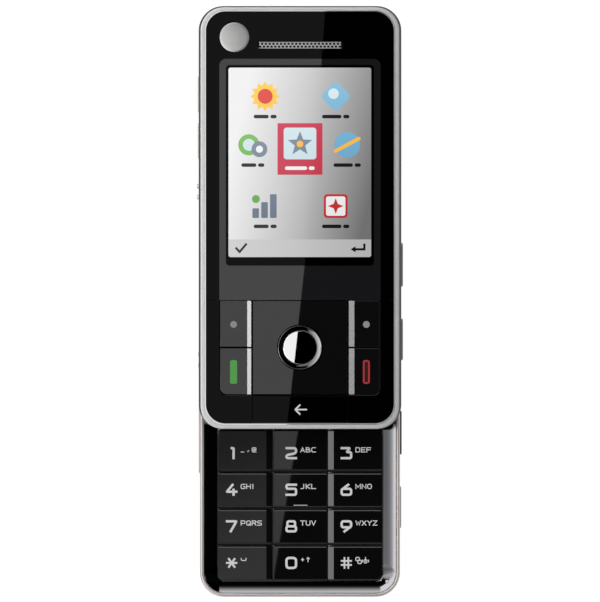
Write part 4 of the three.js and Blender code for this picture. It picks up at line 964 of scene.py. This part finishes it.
class PHONE_OT_base_rim(Operator):
    """Rim of the base: a rounded profile carried round the outline"""

    bl_idname = "phone.base_rim"
    bl_label = "Base rim"

    def execute(self, context):
        low, high = box("base_rim")
        # Distance from the outline and depth below the top.
        foot = high[2] - low[2]
        profile = ((0, foot), (0, 0.5), (0.06, 0.25), (0.18, 0.08), (0.34, 0), (0.6, 0),
                   (0.72, 0.06), (0.78, 0.25), (0.85, 0.25), (0.85, foot))
        rows = [at(inset(low[:2], high[:2], size("shell_corner"), distance, steps=20),
                   high[2] - depth) for distance, depth in profile]
        Skin().grid(rows, loop=True).piece(
            "base_rim_band", "base", ("warm_satin",), "satin_silver", ("base_rim",))
        return {"FINISHED"}


class PHONE_OT_base_front(Operator):
    """Front of the base: a dish round the keypad. From the keypad outwards the height rises by a
    slope plus a power of the distance, and the dish fades out under the slider"""

    bl_idname = "phone.base_front"
    bl_label = "Base front"

    def execute(self, context):
        low, high = box("front_housing")
        corner = size("shell_corner") - 0.95
        opening_low = box("key_star")[0][:2] - KEY_GAP
        opening_high = box("key_3")[1][:2] + KEY_GAP
        fade = (opening_high[1] - 0.6, opening_high[1] + 1.2)
        # The sides take points where the dish starts to deepen and where it fades out.
        start, turn = opening_low[1] + 2.3, 1.9
        extra = np.append(start + np.linspace(0, turn, 7), np.linspace(*fade, 5))
        more = {"steps": 20, "left": extra, "right": extra}
        outer = rounded(low, high, corner, **more)
        inner = rounded(opening_low - 0.05, (opening_high[0] + 0.05, high[1] - 3), 1.65, **more)
        opening = rounded(opening_low, opening_high, 1.6, **more)
        opening[:, 1] = np.minimum(opening[:, 1], opening_high[1])
        rise = size("border_rise")
        lower = smooth((start + 0.8 - inner[:, 1]) / turn)

        def dish(outline, share):
            """Points of one ring, lowered by the part of the way in and by the fade. The dish is
            deeper at the foot than beside the keys."""
            out = 1 - share
            beside = rise * (1 - 0.7 * out - 0.3 * out ** 6)
            foot = 2.87 * rise * (1 - 0.615 * out - 0.385 * out ** 2)
            held = np.clip((fade[1] - outline[:, 1]) / (fade[1] - fade[0]), 0, 1)
            return at(outline, high[2] - (beside + (foot - beside) * lower) * held)

        rows = [at(outer, low[2])]
        rows += [dish(outer + s * (inner - outer), s) for s in np.linspace(0, 1, 14)]
        rows += [dish(opening, 1.0), at(opening, low[2])]
        Skin().grid(rows, loop=True).piece(
            "base_border", "base",
            (border_chrome((opening_high[0] + 0.85, start - 0.3, high[2])),),
            "black_gloss", ("front_housing",))
        # The microphone is a small dome printed white: its white is a painted highlight that stands
        # in for a glint on the port.
        dome = [(0.36, 7.2), (0.36, 7.7), (0.3, 7.76), (0.18, 7.78)]
        Skin().turned(19.75, -63.6, dome, count=24).piece(
            "microphone_painted_glint", "base", ("ink_mark",), "polished_metal")
        return {"FINISHED"}


# Digit and letters of each number key, row by row, and where the digits of each column start.
DIGIT_STARTS = (-16.62, -3.08, 9.46)
KEYPAD = (
    ("1", "-,@"), ("2", "ABC"), ("3", "DEF"), ("4", "GHI"), ("5", "JKL"), ("6", "MNO"),
    ("7", "PQRS"), ("8", "TUV"), ("9", "WXYZ"), ("*", "_"), ("0", "+^"), ("#", "=%"),
)


class PHONE_OT_number_keys(Operator):
    """Number keys: the height is the lowest of a level plane, a slope beside the outer columns,
    a slope at the foot and a ledge at the head"""

    bl_idname = "phone.number_keys"
    bl_label = "Number keys"

    def execute(self, context):
        wide, drop, fall = size("facet_width"), size("facet_drop"), size("key_fall")
        foot_drop = 0.16
        # Distance from the upper edge and drop: a low ledge, a step and a bright slope.
        head = ((0.53, 0.0), (0.36, 0.07), (0.34, 0.34), (0.0, 0.28))
        for index, (digit, letters) in enumerate(KEYPAD):
            node = "key_" + {"*": "star", "#": "hash"}.get(digit, digit)
            low, high = box(node)
            # The side is -1 in the left column, 1 in the right one and 0 between them.
            side = index % 3 - 1
            inner, outer = (low[0], high[0]) if side > 0 else (high[0], low[0])
            corner = 1.42 if digit in "*#" else 0.0
            xs = [low[0], high[0], low[0] + 0.3, high[0] - 0.3]
            if side:
                curve = corner * (1 - np.cos(np.linspace(0, np.pi / 2, 8)))
                xs += [inner + side * wide, *(outer - side * curve)]
            xs = np.unique(np.round(xs, 4))
            away = np.clip(corner - side * (outer - xs), 0, corner)
            foot = low[1] + corner - np.sqrt(np.maximum(corner ** 2 - away ** 2, 0))
            ys = np.vstack((foot, foot + fall, *(np.full(len(xs), high[1] - back)
                                                 for back, _ in head)))
            grid_x = np.broadcast_to(xs, ys.shape)
            z = np.full(ys.shape, high[2])
            if side:
                z = np.minimum(z, high[2] - drop * (wide - side * (grid_x - inner)) / wide)
            z[0] -= foot_drop
            z[2:] -= np.array(head)[:, 1:]
            surface = np.dstack((grid_x, ys, z))
            floor = np.dstack((grid_x, ys, np.full(ys.shape, low[2])))
            skin = Skin().grid(surface, around=False).grid(floor[::-1], around=False)
            rim = np.vstack((surface[0], surface[1:-1, -1], surface[-1][::-1],
                             surface[1:-1, 0][::-1]))
            skin.grid((at(rim[:, :2], low[2]), rim))
            made = skin.piece(node + "_cap", node, ("number_gloss",), "dark_key", (node,), 8)
            weld = made.modifiers.new("Weld", "WELD")
            weld.merge_threshold = 1e-6
            made.modifiers.move(len(made.modifiers) - 1, 0)
            bevel = made.modifiers.new("Round", "BEVEL")
            bevel.width, bevel.segments = 0.05 * MM, 2
            bevel.limit_method, bevel.angle_limit = "ANGLE", np.radians(25)
            made.modifiers.move(len(made.modifiers) - 1, 1)
            self.legend(node, DIGIT_STARTS[index % 3], digit, letters, low, high[2])
        return {"FINISHED"}

    def legend(self, node, start, digit, letters, low, top):
        """Digit and letters from a start on, as thin plates on the key's face"""
        flat = (top - size("ink"), top + size("ink"))
        width, height = size("digit_width"), size("digit_height")
        above_foot, to_letters, letter_gap = 3.94, 1.06, 0.37
        middle = low[1] + above_foot
        skin = Skin()
        stroke = size("digit_stroke") * {"*": 0.85, "#": 0.72}.get(digit, 1)
        write(skin, digit, start, middle - height / 2, width, height, stroke, *flat, 0)
        tall, narrow, fine = size("letter_height"), size("letter_width"), size("letter_stroke")
        base = middle + height / 2 - tall + 0.1
        if digit == "#":
            tall, narrow, base = tall * 1.3, narrow * 1.3, base - 0.4
        write(skin, letters, start + width + to_letters, base, narrow, tall, fine, *flat,
              letter_gap)
        if digit == "5":
            skin.bar(((-1.45, low[1] + 0.42), (1.7, low[1] + 0.42)), 0.13, top - 0.2, top + 0.06)
        skin.piece(node + "_legend", node, ("ink_mark",))


def base_outside(low, high):
    """Outside of the base: the back edge is a quarter circle, and the corners are round."""
    edge, corner = 2.4, size("shell_corner")
    rows = [at(inset(low[:2], high[:2], corner, distance, steps=16), low[2] + z)
            for distance, z in quarter(edge, 10)]
    rows.append(at(rounded(low, high, corner, 16), high[2]))
    return Skin().grid(rows, ends=(True, True))


def side_block(side, near, far, y0, y1, z0, z1, corner):
    """A cutting block in a side wall."""
    flat = rounded((y0, z0), (y1, z1), corner, 5)
    rings = [np.column_stack((np.full(len(flat), side * x), flat)) for x in (near, far)]
    rings = rings if side > 0 else [ring[::-1] for ring in rings]
    return Skin().grid(rings, ends=(True, True))


class PHONE_OT_base_back(Operator):
    """Rear housing and battery cover: the base's outside with the bay, the camera seat, screw
    seats, speaker holes and side pockets cut out, and the cover cut from the same outside"""

    bl_idname = "phone.base_back"
    bl_label = "Base back"

    def execute(self, context):
        low, high = box("rear_housing")
        half = box("base_rim")[1][0]
        low, high = np.array((-half, low[1], 0)), np.array((half, high[1], high[2]))
        cover_low, cover_high = box("battery_cover")
        window = box("camera_window")
        camera = (window[0][:2] + window[1][:2]) / 2
        board = box("main_board")[0][2]
        wall = 1.9

        def cover_shape(gap):
            return Skin().slab(
                rounded((cover_low[0] - gap, low[1] - 4), (cover_high[0] + gap,
                        cover_high[1] + gap), 3, 10), -1, cover_high[2] + gap)

        # The cover's opening, the room from the board to the front, and behind the board the
        # battery's bay and the room of its upper part.
        cuts = [
            cover_shape(0.15),
            Skin().slab(rounded(low[:2] + wall, high[:2] - wall, 3.7), board, high[2] + 1),
            Skin().slab(rounded((-17.3, box("battery")[0][1] - 0.15), (17.3, -2.9), 0.8), 0.5,
                        board - 0.5),
            Skin().slab(rounded((-20.85, -1.9), (20.85, high[1] - wall), 2), 1.2, board + 0.2),
        ]
        # Camera seat and view, screw seats, and sound holes: place, radius, heights and points.
        holes = [(*camera, 3.7, -1, 0.8, 48), (*camera, 2.9, 0, 2, 48)]
        holes += [(x, 23.9, 1.65, -1, 1.1, 32) for x in (-17, 17)]
        holes += [(11.5 + x * 1.7, 5.5 + y * 1.7, 0.5, -1, 2, 20)
                  for y in (-0.5, 0.5) for x in (-1, 0, 1)]
        cuts += [Skin().turned(x, y, ((radius, foot), (radius, top)), count=count)
                 for x, y, radius, foot, top, count in holes]
        # Side pockets: depth, reach past the wall, gaps at both ends and above, and corner.
        for node, side, depth, reach, before, after, gap, corner in (
            ("card_slot_cover", -1, 0.95, 1, 0.15, 0.25, 0.15, 0.01),
            ("socket_cover", -1, 0.95, 1, 0.15, 0.25, 0.15, 0.01),
            ("charging_socket", -1, 4.2, -0.5, 0.1, 0.1, 0.1, 0.01),
            ("infrared_window", 1, 1, 1, 0.1, 0.1, 0.1, 0.8),
        ):
            a, b = box(node)
            cuts.append(side_block(side, half - depth, half + reach, a[1] - before, b[1] + after,
                                   a[2] - gap, b[2] + gap, corner))
        base_outside(low, high).piece(
            "base_shell", "base", ("silver_paint",), "silver_shell", ("rear_housing",), cuts=cuts)
        for name, side, y0, y1 in (("side_grip", 1, -51.5, -42), ("side_grip_left", -1, -39, -22)):
            grip = side_pad(side, (half - 0.3, y0, 2.2), (half + 0.3, y1, 4.6), 0.8, 0.2)
            grip.piece(name, "base", ("silver_paint",), "silver_shell")
        grooves = [Skin().slab(rounded((-4.5, y - 0.5), (4.5, y + 0.5), 0.49, 8), -1, 0.35)
                   for y in (-11.1, -9.1, -7.1)]
        base_outside(low, high).piece(
            "cover_shell", "battery_cover", ("silver_paint",), "silver_shell",
            ("battery_cover",), cuts=grooves, keep=[cover_shape(0)])
        return {"FINISHED"}


class PHONE_OT_base_details(Operator):
    """Camera lens with its ring, and the flaps and the infrared window in the base's walls"""

    bl_idname = "phone.base_details"
    bl_label = "Base details"

    def execute(self, context):
        low, high = box("camera_window")
        x, y = (low[:2] + high[:2]) / 2
        z = low[2]
        edge = ((3.3, z), (3.5, z + 0.04), (3.6, z + 0.14), (3.6, high[2]))
        Skin().turned(x, y, edge).piece(
            "lens_cover", "base", ("camera_glass",), "lens_glass", ("camera_window",))
        band = ((1.45, z + 0.1), (1.85, z + 0.1), (1.85, z), (1.8, z - 0.04), (1.5, z - 0.04),
                (1.45, z))
        rows = [at(circle(x, y, radius), height) for radius, height in band]
        Skin().grid(rows, loop=True).piece(
            "lens_ring", "base", ("polished_lip",), "polished_metal")
        for node in ("card_slot_cover", "socket_cover"):
            side_pad(-1, *box(node), 0.3, 0.12, side_ribs(node)).piece(
                node + "_flap", node, ("flap_paint",), "light_trim", (node,))
        side_pad(1, *box("infrared_window"), 0.8, 0.2).piece(
            "infrared_lens", "base", ("camera_glass",), "lens_glass", ("infrared_window",))
        return {"FINISHED"}


def between(start, end, clear):
    """The two halves, and two points on a line in metres, which a piece takes in place of a
    body. Each point lies a clear distance inside the ends of the line, which are in millimetres."""
    start, end = np.asarray(start, float), np.asarray(end, float)
    step = (end - start) / np.linalg.norm(end - start) * clear
    return "base", "slider", tuple((start + step) * MM), tuple((end - step) * MM)


class PHONE_OT_slide_parts(Operator):
    """Flex cable and spring between the halves. The cable's lower part rides on the base, and its
    upper run and the spring stay where they are made, on neither half"""

    bl_idname = "phone.slide_parts"
    bl_label = "Slide parts"

    def execute(self, context):
        low, high = box("flex_cable")
        thin, bend = 0.15, 0.35
        turn_y, lower_z = high[1] - bend, box("guide_plate")[1][2] + 0.1
        middle = lower_z + bend
        radius = bend - thin / 2
        angle = np.linspace(-np.pi / 2, np.pi / 2, 17)
        turn = np.column_stack((turn_y + radius * np.cos(angle), middle + radius * np.sin(angle)))
        foot = low[1] + thin / 2
        corner = soften([(foot, low[2]), (foot, lower_z + thin / 2), turn[0]], 0.4)
        head = turn_y - 5.8 + thin / 2
        upper = soften([turn[-1], (head, turn[-1, 1]), (head, high[2])], 0.4)
        # Each ribbon is a bar along a path of lengths and heights, laid across the phone.
        for name, body, path in (
            ("flex_lower_run", "base", np.vstack((corner[:-1], turn))),
            ("flex_upper_run", between((0, turn_y, 0), (0, head, 0), 0.0), upper),
        ):
            ribbon = Skin().bar(path, thin, low[0], high[0])
            ribbon.points = [points[:, (2, 0, 1)] for points in ribbon.points]
            ribbon.piece(name, body, ("flex_film",), "amber_film", ("flex_cable",))
        low, high = box("slide_spring")
        eye, wire, z = 1.1, (high[2] - low[2]) / 2, (low[2] + high[2]) / 2
        first, last = low[:2] + eye, high[:2] - eye
        centre = (first + last) / 2
        side = (eye - wire, 0)
        path = through((first + side, centre - (0, 3), centre + (3, 0), centre + (0, 3),
                        last - side))
        spring = Skin().wire(path, z, wire)
        for x, y in (first, last):
            spring.wire(circle(x, y, eye - wire, 32), z, wire, closed=True)
        spring.piece("slide_spring_wire", between((*first, z), (*last, z), eye), ("polished_lip",),
                     "polished_metal", ("slide_spring",))
        return {"FINISHED"}


class PHONE_OT_inner_parts(Operator):
    """Finishes of the CAD nodes that stay, by their material slots"""

    bl_idname = "phone.inner_parts"
    bl_label = "Inner parts"

    def execute(self, context):
        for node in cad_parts.values():
            for holder in node.material_slots:
                name = holder.material.name.split(".")[0]
                if name not in SLOTS:
                    raise RuntimeError("no finish for slot " + name)
                holder.material = finish(SLOTS[name])
        return {"FINISHED"}


# Stage

def card(name, outline, height, near, far=None, start=(0, 0), end=(1, 0)):
    """A lit or black card above the phone that only mirror-like surfaces see. Its strength may
    turn from near to far between two points."""
    made = new_object(name, at(outline, height), [list(range(len(outline)))])
    material = bpy.data.materials.new(name)
    material.use_nodes = True
    tree = material.node_tree
    tree.nodes.clear()
    strength = near
    if far is not None:
        share = share_along(tree, add(tree, "TexCoord").outputs["Object"], (*start, 0), (*end, 0))
        fade = add(tree, "MapRange", {"Value": share, "To Min": near, "To Max": far})
        strength = fade.outputs["Result"]
    glow = add(tree, "Emission", {"Strength": strength})
    add(tree, "OutputMaterial", {"Surface": glow.outputs[0]})
    made.data.materials.append(material)
    made.visible_camera = made.visible_diffuse = made.visible_shadow = False
    made.visible_transmission = made.visible_volume_scatter = False


class PHONE_OT_stage(Operator):
    """Floor, soft lamps, reflection cards and a camera straight above the phone"""

    bl_idname = "phone.stage"
    bl_label = "Stage"

    def execute(self, context):
        scene = context.scene
        self.floor()
        distance, card_height = 3.5, 0.5
        glass = box("front_window")[1][2] * MM
        growth = 1 + card_height / distance
        # Where the bright card's edge shows in the glass and in the keypad, in millimetres.
        edge = np.array(((-6.9, -68), (-0.41, -29.2), (-2.9, -28.2), (0.93, 7.2), (4.83, 54.15),
                         (5.67, 65.4), (6.1, 72))) * MM * growth
        wide, deep = 0.05, 0.095
        # The first column of number keys sees a part of the card that fades towards the slider.
        split = np.array((-6.27, -29)) * MM * growth
        foot = edge[0] + (edge[1] - edge[0]) * (split[0] - edge[0, 0]) / (edge[1, 0] - edge[0, 0])
        level = glass + card_height
        card("near_card", np.vstack((split, foot, edge[1:], (edge[-1, 0] + 0.02, deep),
                                     (-wide, deep), (-wide, split[1]))), level, 1.0)
        card("shaded_card", np.vstack(((-wide, -deep), (foot[0] - 0.004, -deep), foot, split,
                                       (-wide, split[1]))), level, 0.3, 0.85,
             (-0.0198, -0.0384), (-0.0099, -0.0695))
        # The step in the far card keeps the keypad's lower right corner dark on its inside.
        left, reach, low, side, step = -0.5, 0.9, -0.12, -0.14, -0.015
        card("far_card", ((left, low), (-wide, low), (-wide, 0.12), (side, 0.12), (side, step),
                          (-0.356, step), (-0.337, 0.065), (-0.271, 0.179), (-0.17, 0.264),
                          (-0.1, 0.302), (-0.1, reach), (left, reach)), level, 1.0, 4.4,
             (-wide, 0), (side, 0))
        # Below it the light is weaker, so that the bezel's lower edge is darker than its top.
        card("low_card", ((left, -reach), (-wide, -reach), (-wide, low), (left, low)), level,
             0.2, 2.6, (-0.13, 0), (-0.24, 0))
        card("upper_card", ((-0.1, 0.27), (0.12, 0.27), (0.12, reach), (-0.1, reach)), level,
             0.1, 4.2, (0, 0.3), (0, 0.5))
        card("dark_card", ((-0.6, -reach), (0.45, -reach), (0.45, reach), (-0.6, reach)),
             level + 0.002, 0.0)
        for name, place, spread, power in (("soft_box_left", (-0.35, 0.6, 1.25), 0.8, 2.4),
                                           ("soft_box_right", (0.6, 0.1, 1.25), 0.9, 3.2)):
            light = bpy.data.lights.new(name, "AREA")
            light.size, light.energy = spread, power
            turn = Vector(place).to_track_quat("Z", "Y").to_euler()
            self.placed(name, light, place).rotation_euler = turn
        self.surroundings(scene)
        eye = bpy.data.cameras.new("camera")
        # The picture is 136.1 mm wide, and its middle lies a little above the phone's.
        width, rise = 136.1 * MM, 0.17 * MM
        shown = width * IMAGE_HEIGHT / IMAGE_WIDTH
        eye.lens = eye.sensor_width * distance / shown
        eye.clip_start, eye.clip_end = 0.1, 20
        scene.camera = self.placed("camera", eye, (0, rise, glass + distance))
        scene.view_settings.view_transform = "Standard"
        return {"FINISHED"}

    def placed(self, name, data, place):
        holder = bpy.data.objects.new(name, data)
        holder.location = place
        bpy.context.scene.collection.objects.link(holder)
        return holder

    def floor(self):
        """White paper that glows a little, and that rays from below pass through"""
        reach, level = 9.0, -0.0002
        # One triangle, so that no seam runs under the phone.
        made = new_object("floor", ((-reach, -reach, level), (reach, -reach, level),
                                    (0, 1.5 * reach, level)), [(0, 1, 2)])
        material, tree, shader, place = lit_nodes("floor_paper")
        noise = add(tree, "TexNoise", {"Vector": place, "Scale": 400})
        paper = add(tree, "Mix", {"Factor": noise.outputs["Fac"], "A": (0.34, 0.34, 0.34, 1),
                                  "B": (0.36, 0.36, 0.36, 1)}, data_type="RGBA")
        give(shader, {"Base Color": paper.outputs["Result"], "Roughness": 0.9,
                      "Emission Color": (1, 1, 1, 1), "Emission Strength": 0.84})
        side = add(tree, "NewGeometry").outputs["Backfacing"]
        clear = add(tree, "BsdfTransparent", {"Color": (1, 1, 1, 1)})
        choice = add(tree, "MixShader", {0: side, 1: shader.outputs[0], 2: clear.outputs[0]})
        give(tree.nodes["Material Output"], {"Surface": choice.outputs[0]})
        # The floor's own light is found by the rays that meet it, which leaves no streaks on
        # faces close above it.
        material.cycles.emission_sampling = "NONE"
        made.data.materials.append(material)

    def surroundings(self, scene):
        """White surroundings, which light matt surfaces a little less than they are seen"""
        world = scene.world = bpy.data.worlds.new("studio")
        world.use_nodes = True
        tree = world.node_tree
        tree.nodes.clear()
        path = add(tree, "LightPath").outputs
        seen = add(tree, "Math", {0: path["Is Camera Ray"], 1: path["Is Glossy Ray"]},
                   operation="MAXIMUM")
        level = add(tree, "MapRange", {"Value": seen.outputs[0], "To Min": 0.55, "To Max": 1.0})
        back = add(tree, "Background", {"Strength": level.outputs["Result"]})
        add(tree, "OutputWorld", {"Surface": back.outputs[0]})


class PHONE_PT_sidebar(Panel):
    """Sizes, colours and the steps that make the phone"""

    bl_label = "Slider phone"
    bl_space_type = "VIEW_3D"
    bl_region_type = "UI"
    bl_category = "Phone"

    def draw(self, context):
        for group in (context.scene.phone_sizes, context.scene.phone_colours):
            area = self.layout.box()
            for name in group.__annotations__:
                area.prop(group, name)
        for step in STEPS:
            self.layout.operator(step.bl_idname)


STEPS = (
    PHONE_OT_stage, PHONE_OT_inner_parts, PHONE_OT_bezel, PHONE_OT_window, PHONE_OT_screen,
    PHONE_OT_badge, PHONE_OT_grille, PHONE_OT_lower_panel, PHONE_OT_panel_keys,
    PHONE_OT_navigation, PHONE_OT_slider_shell, PHONE_OT_slider_sides, PHONE_OT_base_rim,
    PHONE_OT_base_front, PHONE_OT_number_keys, PHONE_OT_base_back, PHONE_OT_base_details,
    PHONE_OT_slide_parts,
)
CLASSES = (PhoneSizes, PhoneColours, PHONE_PT_sidebar, *STEPS)


def register():
    for item in CLASSES:
        bpy.utils.register_class(item)
    bpy.types.Scene.phone_sizes = PointerProperty(type=PhoneSizes)
    bpy.types.Scene.phone_colours = PointerProperty(type=PhoneColours)


def unregister():
    del bpy.types.Scene.phone_colours
    del bpy.types.Scene.phone_sizes
    for item in reversed(CLASSES):
        bpy.utils.unregister_class(item)


def main():
    register()
    for step in STEPS:
        group, name = step.bl_idname.split(".")
        getattr(getattr(bpy.ops, group), name)()


if __name__ == "__main__":
    main()
